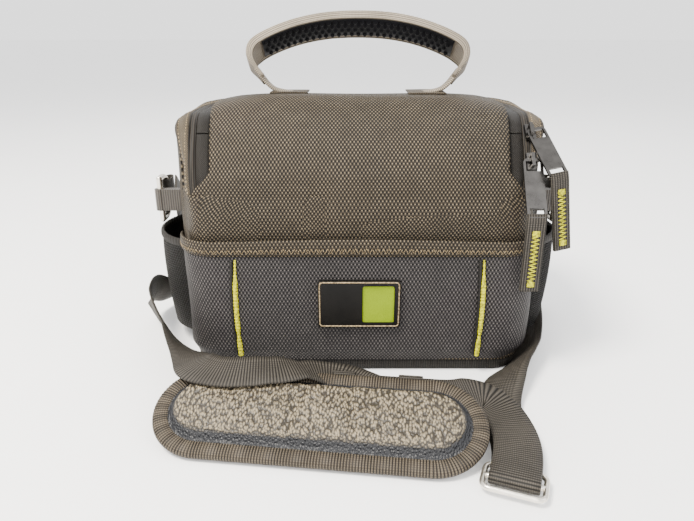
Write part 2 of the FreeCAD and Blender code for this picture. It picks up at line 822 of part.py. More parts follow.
def make_pulls():
    """The front pull hangs nearly upright; the rear one lies slantwise down the slope."""
    front = make_slider("slider_front", dim("slider_front_y"))
    rear = make_slider("slider_rear", dim("slider_rear_y"))
    make_pull("front", front, Vector(1, 0, 0), Vector(0, -0.7, -1))
    slope = math.radians(slope_angle(dim("slider_rear_y")))
    down_slope = Vector(0, -math.cos(slope), -math.sin(slope))
    slant = math.radians(dim("pull_slant"))
    across = X * math.cos(slant) - down_slope * math.sin(slant)
    down = X * math.sin(slant) + down_slope * math.cos(slant)
    outwards = 2.6  # along the bail, so that the plate clears the slider's saddle
    make_pull("rear", rear + X * outwards, across, down)


# ---------------------------------------------------------------- shoulder strap
def ribbon(stations):
    """Flat webbing through stations, each a centre and the direction of its width there."""
    half, thick = dim("webbing") / 2, dim("webbing_thick") / 2
    sections = []
    points = [Vector(*point) for point, _ in stations]
    for i, (_, across) in enumerate(stations):
        along = points[min(i + 1, len(points) - 1)] - points[max(i - 1, 0)]
        along.normalize()
        side = Vector(*across)
        side = side - along * side.dot(along)
        side.normalize()
        up = side.cross(along)
        corners = [side * (half * a) + up * (thick * b) for a, b in ((-1, -1), (1, -1), (1, 1), (-1, 1))]
        sections.append(Part.makePolygon([points[i] + c for c in corners + corners[:1]]))
    return Part.makeLoft(sections, True, True)


def pad_placement():
    """The shoulder pad lies in front of the bag, its back edge raised on the strap."""
    turn = Rotation(Z, dim("pad_turn")).multiply(Rotation(X, dim("pad_tilt")))
    return Placement(Vector(dim("pad_x"), dim("pad_y"), dim("pad_z")), turn)


STRAP_LEFT = [
    ((-138, 29, 99.5), (0, 0, 1)),
    ((-139.5, 37, 95), (0, 0.3, 0.95)),
    ((-142, 43, 81), (0, 0.8, 0.6)),
    ((-146, 42, 64), (0.1, 1, 0.2)),
    ((-150, 34, 50), (0.1, 0.8, 0.6)),
    ((-152, 18, 39), (0.15, 0.35, 1)),
    ((-151, -2, 30), (0.25, 0, 1)),
    ((-146, -22, 21), (0.35, 0, 1)),
    ((-136, -41, 14), (0.5, 0.2, 1)),
    ((-127, -58.5, 8.6), (0.7, 0.6, 0.55)),
    ((-113.5, -73.5, 4), (0.7, 0.9, 0.15)),
    ((-96, -86.5, 1.6), (0.6, 1, 0)),
    ((-78, -92, 3), (0.2, 1, 0)),
    ((-63, -95, 8), (0, 1, 0.5)),
    ((-51, -97, 13), (0, 0.5, 1)),
    ((-42, -103, 14), (0.3, 1, 0.8)),
]
STRAP_RIGHT = [
    ((138, 29, 99.5), (0, 0, 1)),
    ((139.5, 37, 95), (0, 0.3, 0.95)),
    ((142, 43, 81), (0, 0.8, 0.6)),
    ((147, 42, 64), (-0.1, 1, 0.2)),
    ((151, 32, 52), (-0.2, 0.8, 0.6)),
    ((153, 14, 44), (-0.3, 0.3, 1)),
    ((150, -8, 35), (-0.4, 0, 1)),
    ((143, -28, 25), (-0.6, 0.1, 1)),
    ((134, -47, 15), (-0.8, 0.4, 0.7)),
    ((124, -65, 6.5), (-1, 0.5, 0.3)),
    ((114, -86, 2), (-1, 0.5, 0)),
    ((104, -108, 1.2), (-1, 0.4, 0)),
    ((95, -131, 1.2), (-1, 0.4, 0)),
    ((86, -152, 1.2), (-1, 0.4, 0)),
]


PAD_FLOOR = -2  # the underside of the pad's foam, in the pad's own frame


def stadium(inset, low, high):
    """A slab with half-round ends: the pad's outline drawn in by inset."""
    half, radius = dim("pad_half") - inset, dim("pad_radius") - inset
    slab = box((radius - half, -radius, low), (half - radius, radius, high))
    centres = [Vector(side * (half - radius), 0, low) for side in (1, -1)]
    ends = [Part.makeCylinder(radius, high - low, centre, Z) for centre in centres]
    return slab.fuse(ends).removeSplitter()


def pillow(inset, low, high):
    """The same slab with its upper rim rounded."""
    rounding = 4.5
    block = stadium(inset, low, high)
    rim = [e for e in block.Edges if abs(e.CenterOfMass.z - high) < 1e-6 and e.BoundBox.ZLength < 1e-6]
    return block.makeFillet(rounding, rim)


def make_pad():
    """A foam pad: a moulded pillow on a backing, with a ribbed binding."""
    place = pad_placement()
    binding, top, skin = dim("pad_binding"), dim("pad_pillow"), 1
    binding_top = 1.2
    backing = stadium(1, PAD_FLOOR - dim("pad_backing"), PAD_FLOOR - CLEAR)
    rim = stadium(0, PAD_FLOOR, binding_top).cut(stadium(binding, PAD_FLOOR - 1, binding_top + 1))
    outside = pillow(binding + CLEAR, PAD_FLOOR, top)
    inside = pillow(binding + CLEAR + skin, PAD_FLOOR - 1, top - skin)
    feature("pad_backing", backing, place)
    feature("pad_binding", rim, place)
    feature("pad_foam", pillow(binding + 2 * CLEAR + skin, PAD_FLOOR, top - skin - CLEAR), place)
    feature("pad_cover", outside.cut(inside), place)


def make_keepers():
    """Two webbing loops under the pad that the strap runs in."""
    under = PAD_FLOOR - dim("pad_backing")
    y, half, wide = dim("pad_strap_y"), dim("keeper") / 2, (dim("webbing") + 1) / 2
    wall, room = 1.2, 3
    keepers = []
    for x in (10, 50):
        low, high = under - room - wall, under - CLEAR / 2
        outside = box((x - half, y - wide - wall, low), (x + half, y + wide + wall, high))
        inside = box((x - BEYOND, y - wide, under - room), (x + BEYOND, y + wide, under + 1))
        keepers.append(outside.cut(inside))
    feature("pad_keepers", Part.makeCompound(keepers), pad_placement())


def under_pad(x):
    """A place of the strap's centre below the pad, and the direction of its width."""
    place = pad_placement()
    below_backing = 0.6
    height = PAD_FLOOR - dim("pad_backing") - below_backing - dim("webbing_thick") / 2
    point = place.multVec(Vector(x, dim("pad_strap_y"), height))
    across = place.Rotation.multVec(Y)
    return (tuple(point), tuple(across))


BUCKLE_AT = (74.5, -179.5)  # middle of the buckle's centre bar
BUCKLE_HEIGHT = 4.4
BUCKLE_TURN = -21  # degrees that the strap turns from -Y there
FOLD_LOW, FOLD_HIGH = 1.2, 7.6  # the strap's height before and after it goes round the bar
AFTER_BUCKLE = [
    ((83, -152, 7.6), (1, 0.1, 0)),
    ((83, -136, 8), (1, 0, 0)),
    ((79, -122, 9), (0.85, 0.5, 0.1)),
    ((71, -115, 11), (0.4, 1, 0.25)),
]


def buckle_fold():
    """The strap's half turn round the buckle's bar, and where it leaves the buckle above."""
    turn = Rotation(Z, BUCKLE_TURN)
    along, across = turn.multVec(-Y), turn.multVec(X)
    bar = Vector(*BUCKLE_AT, BUCKLE_HEIGHT)
    reach, steps, leaves = (FOLD_HIGH - FOLD_LOW) / 2, 6, 14
    stations = []
    for step in range(steps + 1):
        angle = math.pi * step / steps
        place = bar + along * (reach * math.sin(angle)) - Z * (reach * math.cos(angle))
        stations.append((tuple(place), tuple(across)))
    above = bar - along * leaves
    return stations + [((above.x, above.y, FOLD_HIGH), tuple(across))]


def make_strap():
    """Webbing from the left ring, under the pad, round the buckle and back to the right ring."""
    feature("strap_left", ribbon(STRAP_LEFT + [under_pad(x) for x in (-12, 6, 29)]))
    under = [under_pad(x) for x in (76, 56, 30)]
    feature("strap_right", ribbon(STRAP_RIGHT + buckle_fold() + AFTER_BUCKLE + under))
    place = Placement(Vector(*BUCKLE_AT, BUCKLE_HEIGHT), Rotation(Z, BUCKLE_TURN))
    sizes = ("dims.buckle_wide", "dims.buckle_long", "dims.buckle_bar")
    buckle = padded_block("slide_buckle", "XY_Plane", *sizes, place, "2.5 mm")
    window = "(dims.buckle_long - 3 * dims.buckle_bar) / 2"
    at = (dim("buckle_long") - dim("buckle_bar")) / 4
    for name, side in (("front", -1), ("rear", 1)):
        cut_window(buckle, f"buckle_{name}", "XY_Plane", "dims.buckle_wide - 6.4", window, (0, side * at))


make_pulls()
make_pad()
make_keepers()
make_strap()


# ---------------------------------------------------------------- check and write
doc.recompute()
for piece in doc.Objects:
    assert not {"Invalid", "Error"} & set(piece.State), f"{piece.Label}: {piece.State}"
assert len({piece.Label for piece in subparts}) == len(subparts) <= 60
for piece in subparts:
    assert not piece.Shape.isNull() and piece.Shape.isValid(), piece.Label
for piece in subparts:
    piece.Shape.exportStep(f"parts/{piece.Label}.step")
for name, hinges in PIVOTS.items():
    print(f"{name} pull: {hinges}")
print(f"{len(subparts)} sub-parts written")
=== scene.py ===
import math

import bmesh
import bpy
import numpy as np
from mathutils import Matrix, Vector


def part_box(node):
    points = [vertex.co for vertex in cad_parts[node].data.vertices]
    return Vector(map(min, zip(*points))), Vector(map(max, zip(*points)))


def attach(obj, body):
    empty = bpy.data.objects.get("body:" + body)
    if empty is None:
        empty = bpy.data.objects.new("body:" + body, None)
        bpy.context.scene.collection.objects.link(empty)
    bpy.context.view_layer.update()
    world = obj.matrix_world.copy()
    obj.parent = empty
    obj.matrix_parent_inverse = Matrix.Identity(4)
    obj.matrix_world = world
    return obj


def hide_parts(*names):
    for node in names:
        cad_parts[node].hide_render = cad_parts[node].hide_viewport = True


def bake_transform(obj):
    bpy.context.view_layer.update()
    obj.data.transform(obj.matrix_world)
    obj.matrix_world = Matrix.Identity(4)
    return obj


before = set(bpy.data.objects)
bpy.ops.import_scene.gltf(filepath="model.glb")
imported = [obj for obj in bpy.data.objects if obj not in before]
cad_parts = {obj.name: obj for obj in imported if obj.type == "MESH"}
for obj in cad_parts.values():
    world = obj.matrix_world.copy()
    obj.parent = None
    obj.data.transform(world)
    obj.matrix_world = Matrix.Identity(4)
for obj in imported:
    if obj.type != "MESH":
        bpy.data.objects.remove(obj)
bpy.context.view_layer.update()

# The looks of a padded camera bag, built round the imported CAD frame. Sizes below are in millimetres,
# in the CAD model's frame, and become metres when a mesh is made. The lights are placed in metres.
MM = 0.001

# ---------------------------------------------------------------- lines of points
def run_along(line):
    """The distance along a line of points, from its first point to each."""
    return np.concatenate([[0], np.cumsum(np.linalg.norm(np.diff(line, axis=0), axis=1))])


def points_at(places, run, line):
    """The points of a line at given distances along it."""
    return np.stack([np.interp(places, run, line[:, i]) for i in range(3)], -1)


def squared_off(wave, power):
    """A sine or cosine flattened towards a square wave, for rounded rectangles."""
    return np.sign(wave) * np.abs(wave) ** power


# ---------------------------------------------------------------- camera and lights
CAMERA_AT = (-7.7, -417, 209)
CAMERA_PITCH = 20.5  # degrees below level
FOCAL = 31.1  # for a 36 mm sensor


def make_camera():
    """The photograph's view."""
    data = bpy.data.cameras.new("camera")
    data.lens = FOCAL
    data.sensor_width = 36
    data.clip_start = 0.01
    camera = bpy.data.objects.new("camera", data)
    camera.location = Vector(CAMERA_AT) * MM
    camera.rotation_euler = (math.radians(90 - CAMERA_PITCH), 0, 0)
    bpy.context.scene.collection.objects.link(camera)
    bpy.context.scene.camera = camera


def area_light(name, at, target, size, power, colour):
    data = bpy.data.lights.new(name, "AREA")
    data.shape = "DISK"
    data.size = size
    data.energy = power
    data.color = colour
    light = bpy.data.objects.new(name, data)
    light.location = at
    light.rotation_euler = (Vector(target) - Vector(at)).to_track_quat("-Z", "Y").to_euler()
    bpy.context.scene.collection.objects.link(light)


def make_light():
    """A warm key from the front left, three weak fills and a white sky."""
    area_light(
        "key", at=(-0.5, -0.45, 1.15), target=(0, -0.02, 0.08), size=0.45, power=46, colour=(1.0, 0.95, 0.86)
    )
    area_light(
        "fill", at=(0.95, -0.7, 0.8), target=(0, 0, 0.08), size=1.1, power=8, colour=(0.95, 0.96, 1.0)
    )
    area_light(
        "front", at=(-0.2, -1.3, 0.6), target=(0, 0, 0.08), size=0.8, power=9, colour=(1.0, 0.96, 0.90)
    )
    area_light(
        "back", at=(0.1, 1.0, 1.1), target=(0, 0, 0.1), size=0.9, power=6, colour=(1.0, 0.98, 0.95)
    )
    world = bpy.data.worlds.new("world")
    world.use_nodes = True
    background = world.node_tree.nodes["Background"]
    background.inputs["Color"].default_value = (1, 1, 1, 1)
    background.inputs["Strength"].default_value = 2.0
    bpy.context.scene.world = world


# ---------------------------------------------------------------- the loaf shape
def circle_through(a, b, c):
    """Centre and radius of the circle through three points of a plane."""
    a, b, c = (np.array(p, float) for p in (a, b, c))
    rows = np.array([b - a, c - a]) * 2
    centre = np.linalg.solve(rows, [b @ b - a @ a, c @ c - a @ a])
    return centre, float(np.linalg.norm(a - centre))


HALF_DEPTH, CORNER = 65.0, 20.0
FRONT_HALF, SIDE_HALF, BACK_HALF = 108.0, 122.0, 114.0
TOP, SHOULDER_HALF = 168.0, 124.0
SLOPE, SLOPE_RADIUS = circle_through((-65, 104), (-45, 143), (-5, 168))
BACK, BACK_RADIUS = circle_through((40, 168), (57, 161.4), (65, 146))
SHOULDER, SHOULDER_RADIUS = circle_through((124, 142), (116.7, 157.5), (97, 163))
CROWN, CROWN_RADIUS = circle_through((-97, 163), (0, 169), (97, 163))
SOFT = 7.0  # how far the edges between the loaf's sides are eased
HINGE_Z = 120.0


def smooth_max(a, b, ease):
    """The larger of two distances, eased where they are close."""
    mix = np.clip(0.5 + (a - b) / (2 * ease), 0, 1)
    return b + (a - b) * mix + ease * mix * (1 - mix) * 0.5


def smooth_step(low, high, value):
    share = np.clip((value - low) / (high - low), 0, 1)
    return share * share * (3 - 2 * share)


def plan_half(y):
    """The bag's half width at a place y between its round corners."""
    reach = HALF_DEPTH - CORNER
    y = np.clip(y, -reach, reach)
    rise = (BACK_HALF - FRONT_HALF) / (2 * reach)
    fall = (SIDE_HALF - (FRONT_HALF + BACK_HALF) / 2) / reach**2
    return SIDE_HALF + rise * y - fall * y * y


def plan_distance(x, y):
    across = np.abs(x) - plan_half(y) + CORNER
    along = np.abs(y) - HALF_DEPTH + CORNER
    outside = np.hypot(np.maximum(across, 0), np.maximum(along, 0))
    return outside + np.minimum(np.maximum(across, along), 0) - CORNER


def side_distance(y, z):
    flat = np.maximum(z - TOP, np.abs(y) - HALF_DEPTH)
    slope = np.hypot(y - SLOPE[0], z - SLOPE[1]) - SLOPE_RADIUS
    flat = np.where((y < SLOPE[0]) & (z > SLOPE[1]), np.maximum(flat, slope), flat)
    back = np.hypot(y - BACK[0], z - BACK[1]) - BACK_RADIUS
    return np.where((y > BACK[0]) & (z > BACK[1]), np.maximum(flat, back), flat)


def front_distance(x, z):
    across = np.abs(x)
    flat = np.maximum(across - SHOULDER_HALF, np.hypot(x - CROWN[0], z - CROWN[1]) - CROWN_RADIUS)
    shoulder = np.hypot(across - SHOULDER[0], z - SHOULDER[1]) - SHOULDER_RADIUS
    return np.where((across > SHOULDER[0]) & (z > SHOULDER[1]), np.maximum(flat, shoulder), flat)


def slack(x, y, z):
    """A gentle unevenness of the padded walls."""
    waves = 0.5 * np.sin(x / 23 + 1.3) * np.cos(z / 31 + 0.4) + 0.35 * np.sin(y / 17 + x / 41)
    return waves + 0.35 * np.sin(z / 14 + x / 29 + 2)


def loaf_distance(p):
    """Signed distance, near enough, from the bag's surface: negative inside."""
    x, y, z = p[..., 0], p[..., 1], p[..., 2]
    shape = smooth_max(plan_distance(x, y), side_distance(y, z), SOFT)
    shape = smooth_max(shape, front_distance(x, z), SOFT)
    return shape + slack(x, y, z)


def shoot(start, direction, offset, reach=190.0):
    """Where rays from inside the bag meet the surface that lies offset outside it."""
    near = np.zeros(direction.shape[:-1])
    far = near + reach
    for _ in range(30):
        middle = (near + far) / 2
        inside = loaf_distance(start + direction * middle[..., None]) < offset
        near = np.where(inside, middle, near)
        far = np.where(inside, far, middle)
    return start + direction * near[..., None]


def normal_at(p):
    step = 0.5
    slopes = [loaf_distance(p + step * axis) - loaf_distance(p - step * axis) for axis in np.eye(3)]
    slopes = np.stack(slopes, -1)
    return slopes / np.linalg.norm(slopes, axis=-1, keepdims=True)


# ---------------------------------------------------------------- the lid's outline from above
LID_FRONT_HALF, LID_BACK_HALF, LID_BACK, LID_ROUND = 91.0, 98.0, 36.0, 22.0


def mouth_half(y):
    """Half the lid's width at a place y, with its round back corners."""
    share = np.clip((y + HALF_DEPTH) / HALF_DEPTH, 0, 1)
    straight = LID_FRONT_HALF + share * (LID_BACK_HALF - LID_FRONT_HALF)
    into = np.clip(y - (LID_BACK - LID_ROUND), 0, LID_ROUND)
    return straight - LID_ROUND + np.sqrt(LID_ROUND**2 - into**2)


def mouth_distance(x, y):
    """How far outside the lid's outline a place lies."""
    corner_y = LID_BACK - LID_ROUND
    across = np.abs(x) - LID_BACK_HALF + LID_ROUND
    rounded = np.hypot(np.maximum(across, 0), np.maximum(y - corner_y, 0))
    rounded += np.minimum(np.maximum(across, y - corner_y), 0) - LID_ROUND
    return np.where(y < corner_y, np.abs(x) - mouth_half(y), rounded)


def outline(count, low_y=-61.5):
    """Places round the lid's edge, from its left front end to its right front end."""
    corner_y, inner = LID_BACK - LID_ROUND, LID_BACK_HALF - LID_ROUND
    ys = np.linspace(low_y, corner_y, 80)
    side = np.stack([mouth_half(ys), ys], -1)
    turn = np.linspace(0, math.pi / 2, 30)[1:]
    corner = np.stack([inner + LID_ROUND * np.cos(turn), corner_y + LID_ROUND * np.sin(turn)], -1)
    right = np.concatenate([side, corner])
    left = right * [-1, 1]
    path = np.concatenate([left, right[::-1]])
    lengths = run_along(path)
    at = np.linspace(0, lengths[-1], count)
    return np.stack([np.interp(at, lengths, path[:, i]) for i in (0, 1)], -1)


def outline_walks(count, steps, low_y=-61.5):
    """From each place round the lid's edge, points one millimetre apart along the surface, outwards."""
    flat = outline(count, low_y)
    start = np.concatenate([flat, np.full((count, 1), 90.0)], -1)
    p = shoot(start, np.broadcast_to([0.0, 0.0, 1.0], start.shape), 0.0, 110.0)
    walks = [p]
    for _ in range(steps):
        x, y = p[:, 0], p[:, 1]
        out = np.stack([
            mouth_distance(x + 0.5, y) - mouth_distance(x - 0.5, y),
            mouth_distance(x, y + 0.5) - mouth_distance(x, y - 0.5),
            np.zeros(count),
        ], -1)
        normal = normal_at(p)
        out -= normal * (out * normal).sum(-1, keepdims=True)
        out /= np.linalg.norm(out, axis=-1, keepdims=True)
        p = p + out
        for _ in range(3):
            p = p - normal_at(p) * loaf_distance(p)[:, None]
        walks.append(p)
    return np.stack(walks, 1)


WALKS = outline_walks(520, 28)
WALK_NORMALS = normal_at(WALKS)


def zip_surface(spread, offset):
    """Points beside the lid's edge: spread outwards along the cloth and offset above it, one per station."""
    low = int(min(max(spread, 0), WALKS.shape[1] - 2))
    share = spread - low
    base = WALKS[:, low] * (1 - share) + WALKS[:, low + 1] * share
    normal = WALK_NORMALS[:, low] * (1 - share) + WALK_NORMALS[:, low + 1] * share
    return base + normal * offset


# ---------------------------------------------------------------- meshes
SIDE_RUN = 6.5  # how far up the pad's pillow its steep side runs, which is painted in shade
PORE_SLANT, PORE_STRETCH = 1.1, 0.5  # the skin's pores lean and run long
UV_NAME = "cloth"  # a UV map in centimetres of cloth


def add_piece(name, mesh, material, smooth=True):
    piece = bpy.data.objects.new(name, mesh)
    bpy.context.scene.collection.objects.link(piece)
    piece.data.materials.append(material)
    piece.data.polygons.foreach_set("use_smooth", [smooth] * len(piece.data.polygons))
    return piece


def lengths_along(points, axis):
    """Running length of a grid of points along one of its two directions, the same for every line."""
    steps = np.linalg.norm(np.diff(points, axis=axis), axis=-1).mean(axis=1 - axis)
    return np.concatenate([[0], np.cumsum(steps)])


def grid_mesh(name, points, material, closed=False, cloth=None, smooth=True):
    """A piece from a grid of points, rows by columns; closed joins its last column to its first."""
    rows, columns = points.shape[:2]
    around = np.concatenate([points, points[:, :1]], 1) if closed else points
    if cloth is None:
        u, v = np.meshgrid(lengths_along(around, 1), lengths_along(around, 0))
    else:
        u, v = cloth
    mesh = bpy.data.meshes.new(name)
    faces, corners = [], []
    for i in range(rows - 1):
        for j in range(around.shape[1] - 1):
            cell = ((i, j), (i, j + 1), (i + 1, j + 1), (i + 1, j))
            faces.append([a * columns + b % columns for a, b in cell])
            corners += cell
    mesh.from_pydata((points.reshape(-1, 3) * MM).tolist(), [], faces)
    layer = mesh.uv_layers.new(name=UV_NAME)
    flat = np.array([(u[a, b] / 10, v[a, b] / 10) for a, b in corners], np.float32)
    layer.data.foreach_set("uv", flat.ravel())
    return add_piece(name, mesh, material, smooth)


def tidy(piece, merge=0.02, outward=True):
    """Merges points that coincide and turns the faces outwards."""
    work = bmesh.new()
    work.from_mesh(piece.data)
    bmesh.ops.remove_doubles(work, verts=work.verts, dist=merge * MM)
    if outward:
        bmesh.ops.recalc_face_normals(work, faces=work.faces)
    work.to_mesh(piece.data)
    work.free()
    return piece


def thicken(piece, thick, offset=0.0):
    """Gives an open surface a thickness in millimetres; offset says to which side."""
    modifier = piece.modifiers.new("thickness", "SOLIDIFY")
    modifier.thickness = thick * MM
    modifier.offset = offset
    return piece


def join(name, pieces):
    """Several pieces as one, under a name."""
    work = bmesh.new()
    materials = []
    for piece in pieces:
        for material in piece.data.materials:
            if material not in materials:
                materials.append(material)
    for piece in pieces:
        before = len(work.faces)
        work.from_mesh(piece.data)
        work.faces.ensure_lookup_table()
        slot = materials.index(piece.data.materials[0])
        for face in work.faces[before:]:
            face.material_index = slot
    mesh = bpy.data.meshes.new(name)
    work.to_mesh(mesh)
    work.free()
    joined = bpy.data.objects.new(name, mesh)
    bpy.context.scene.collection.objects.link(joined)
    for material in materials:
        mesh.materials.append(material)
    for piece in pieces:
        bpy.data.objects.remove(piece)
    return joined


def tube(name, points, radius, material, closed=False, sides=8):
    """A round thread or wire along points."""
    points = np.asarray(points, float)
    if closed:
        along = np.roll(points, -1, 0) - np.roll(points, 1, 0)
    else:
        along = np.gradient(points, axis=0)
    along /= np.linalg.norm(along, axis=1, keepdims=True)
    side = np.cross(along, [0.13, 0.21, 0.97])
    side /= np.linalg.norm(side, axis=1, keepdims=True)
    up = np.cross(side, along)
    turn = np.arange(sides) * 2 * math.pi / sides
    ring = side[:, None] * np.cos(turn)[None, :, None] + up[:, None] * np.sin(turn)[None, :, None]
    grid = points[:, None] + ring * radius
    if closed:
        grid = np.concatenate([grid, grid[:1]], 0)
    made = grid_mesh(name, grid, material, closed=True)
    return tidy(made) if closed else cap_ends(made, len(points), sides)


def cap_ends(piece, rows, columns):
    work = bmesh.new()
    work.from_mesh(piece.data)
    work.verts.ensure_lookup_table()
    work.faces.new([work.verts[i] for i in range(columns)])
    work.faces.new([work.verts[(rows - 1) * columns + i] for i in reversed(range(columns))])
    bmesh.ops.recalc_face_normals(work, faces=work.faces)
    work.to_mesh(piece.data)
    work.free()
    return piece


# ---------------------------------------------------------------- materials
class Shader:
    """A material's node tree, built by short calls."""

    def __init__(self, name, colour, roughness, metallic=0.0, sheen=0.0, specular=0.5):
        self.material = bpy.data.materials.new(name)
        self.material.use_nodes = True
        self.tree = self.material.node_tree
        self.surface = self.tree.nodes["Principled BSDF"]
        self.surface.inputs["Base Color"].default_value = (*colour, 1)
        self.surface.inputs["Roughness"].default_value = roughness
        self.surface.inputs["Metallic"].default_value = metallic
        self.surface.inputs["Sheen Weight"].default_value = sheen
        self.surface.inputs["Specular IOR Level"].default_value = specular

    def node(self, kind, **values):
        made = self.tree.nodes.new(kind)
        for key, value in values.items():
            setattr(made, key, value)
        return made

    def link(self, source, target):
        if isinstance(source, (int, float)):
            target.default_value = source
        else:
            self.tree.links.new(source, target)

    def maths(self, operation, *values):
        made = self.node("ShaderNodeMath", operation=operation)
        for value, socket in zip(values, made.inputs):
            self.link(value, socket)
        return made.outputs[0]

    def cloth_place(self):
        """The cloth's two coordinates in millimetres."""
        uv = self.node("ShaderNodeUVMap", uv_map=UV_NAME)
        parts = self.node("ShaderNodeSeparateXYZ")
        self.link(uv.outputs[0], parts.inputs[0])
        return [self.maths("MULTIPLY", parts.outputs[i], 10) for i in (0, 1)]

    def object_place(self):
        return self.node("ShaderNodeTexCoord").outputs["Object"]

    def noise(self, size, detail=3.0, roughness=0.55):
        """Noise whose patches are about size millimetres across."""
        made = self.node("ShaderNodeTexNoise")
        self.link(self.object_place(), made.inputs["Vector"])
        made.inputs["Scale"].default_value = 1 / (size * MM)
        made.inputs["Detail"].default_value = detail
        made.inputs["Roughness"].default_value = roughness
        return made.outputs["Fac"]

    def wave(self, value, pitch):
        """0 to 1 and back once each pitch."""
        turned = self.maths("MULTIPLY", value, 2 * math.pi / pitch)
        return self.maths("MULTIPLY_ADD", self.maths("SINE", turned), 0.5, 0.5)

    def ramp(self, value, stops):
        """A colour ramp: (place, colour) pairs."""
        made = self.node("ShaderNodeValToRGB")
        self.link(value, made.inputs[0])
        for i, (place, colour) in enumerate(stops):
            element = made.color_ramp.elements[i] if i < 2 else made.color_ramp.elements.new(place)
            element.position = place
            element.color = (*colour, 1)
        return made.outputs[0]

    def mix(self, share, first, second):
        made = self.node("ShaderNodeMix", data_type="RGBA")
        self.link(share, made.inputs[0])
        for value, socket in ((first, made.inputs[6]), (second, made.inputs[7])):
            if isinstance(value, tuple):
                socket.default_value = (*value, 1)
            else:
                self.link(value, socket)
        return made.outputs[2]

    def colour(self, source):
        self.link(source, self.surface.inputs["Base Color"])

    def roughness(self, value, low, high):
        spread = self.maths("MULTIPLY_ADD", value, high - low, low)
        self.link(spread, self.surface.inputs["Roughness"])

    def bump(self, height, depth, strength=1.0):
        """depth in millimetres."""
        made = self.node("ShaderNodeBump")
        self.link(height, made.inputs["Height"])
        made.inputs["Distance"].default_value = depth * MM
        made.inputs["Strength"].default_value = strength
        self.link(made.outputs[0], self.surface.inputs["Normal"])


def staggered_dots(shader, u, v, pitch_u, pitch_v, shift):
    """Round spots in rows, every other row moved by half a pitch: 1 at a spot's middle, 0 between."""
    row = shader.maths("FLOOR", shader.maths("DIVIDE", v, pitch_v))
    odd = shader.maths("MULTIPLY", shader.maths("FLOORED_MODULO", row, 2), 0.5)
    across = shader.maths("ADD", shader.maths("DIVIDE", u, pitch_u), shader.maths("ADD", odd, shift))
    du = shader.maths("SUBTRACT", shader.maths("FRACT", across), 0.5)
    dv = shader.maths("SUBTRACT", shader.maths("FRACT", shader.maths("DIVIDE", v, pitch_v)), 0.5)
    squares = shader.maths("ADD", shader.maths("MULTIPLY", du, du), shader.maths("MULTIPLY", dv, dv))
    return shader.maths("SUBTRACT", 1, shader.maths("MULTIPLY", shader.maths("SQRT", squares), 2.6))


def dobby(name, ground, thread, hole, pitch=2.3):
    """Woven nylon: staggered dark pits in a fine weave; beside each pit a light fleck in the thread colour,
    which is a painted highlight; and patches of dirt, strengthened to paint the shade of folds.
    """
    shader = Shader(name, ground, 0.66, specular=0.16)
    u, v = shader.cloth_place()
    tall = pitch * 0.82
    pits = shader.maths("MAXIMUM", staggered_dots(shader, u, v, pitch, tall, 0.0), 0)
    # flecks: a painted highlight beside each pit, a glint of the weave in the thread colour
    flecks = shader.maths("MAXIMUM", staggered_dots(shader, u, v, pitch, tall, 0.42), 0)
    flecks = shader.maths("POWER", flecks, 1.6)
    yarn = shader.maths("MULTIPLY", shader.wave(v, 0.55), shader.wave(u, 0.62))
    # The 55 mm noise paints patches of dirt, strengthened to paint the shade of folds; it also varies the
    # roughness.
    dust_and_fold_shade, patchy = shader.noise(55, 4), shader.noise(9, 5)
    light = tuple(c * 1.7 for c in ground)
    base = shader.ramp(shader.maths("MULTIPLY_ADD", patchy, 0.25, dust_and_fold_shade), [(0.42, ground), (0.85, light)])
    base = shader.mix(shader.maths("MULTIPLY", yarn, 0.35), base, light)
    # The 9 mm noise also sets how strong the painted highlights are.
    lit = shader.mix(shader.maths("MULTIPLY", flecks, shader.maths("ADD", patchy, 0.15)), base, thread)
    shader.colour(shader.mix(shader.maths("MINIMUM", shader.maths("MULTIPLY", pits, 2.1), 1), lit, hole))
    raised, sunk = shader.maths("MULTIPLY", flecks, 0.6), shader.maths("MULTIPLY", pits, 1.6)
    height = shader.maths("SUBTRACT", raised, sunk)
    shader.bump(shader.maths("MULTIPLY_ADD", yarn, 0.25, height), 0.32)
    shader.roughness(dust_and_fold_shade, 0.5, 0.72)
    return shader.material


def twill(name, dark, light, pitch=1.25):
    """Tape with fine diagonal ribs."""
    shader = Shader(name, dark, 0.6, specular=0.2)
    u, v = shader.cloth_place()
    rib = shader.wave(shader.maths("ADD", u, v), pitch)
    patches = shader.noise(22)
    shader.colour(shader.mix(shader.maths("MULTIPLY", rib, shader.maths("ADD", patches, 0.25)), dark, light))
    shader.bump(rib, 0.25)
    return shader.material


def ribbed(name, dark, light, pitch=1.3, cross=0.7):
    """Grosgrain or webbing: ribs across its run, each made of small bundles."""
    shader = Shader(name, dark, 0.6, specular=0.2)
    u, v = shader.cloth_place()
    rib = shader.wave(u, pitch)
    bundle = shader.wave(v, cross)
    both = shader.maths("MULTIPLY", rib, shader.maths("MULTIPLY_ADD", bundle, 0.5, 0.5))
    patches = shader.noise(18, 4)
    patchy = shader.maths("MULTIPLY", both, shader.maths("ADD", patches, 0.35))
    shader.colour(shader.mix(patchy, dark, light))
    shader.bump(both, 0.3)
    return shader.material


def grained(name, dark, light, size=1.3, depth=0.3, rough=(0.4, 0.62)):
    """Coated foam or moulded plastic with a pebbled grain; it needs no cloth coordinates."""
    shader = Shader(name, dark, 0.5, specular=0.12)
    grain = shader.node("ShaderNodeTexVoronoi", feature="SMOOTH_F1")
    shader.link(shader.object_place(), grain.inputs["Vector"])
    grain.inputs["Scale"].default_value = 1 / (size * MM)
    cells = grain.outputs["Distance"]
    patches = shader.noise(28, 4)
    fine = shader.noise(0.6, 2)
    between = shader.maths("SUBTRACT", 1.25, shader.maths("MULTIPLY", cells, 0.9))
    tone = shader.maths("MULTIPLY", patches, between)
    shader.colour(shader.ramp(tone, [(0.25, dark), (0.75, light)]))
    shader.roughness(patches, *rough)
    shader.bump(shader.maths("MULTIPLY_ADD", fine, 0.3, shader.maths("SUBTRACT", 1, cells)), depth)
    return shader.material


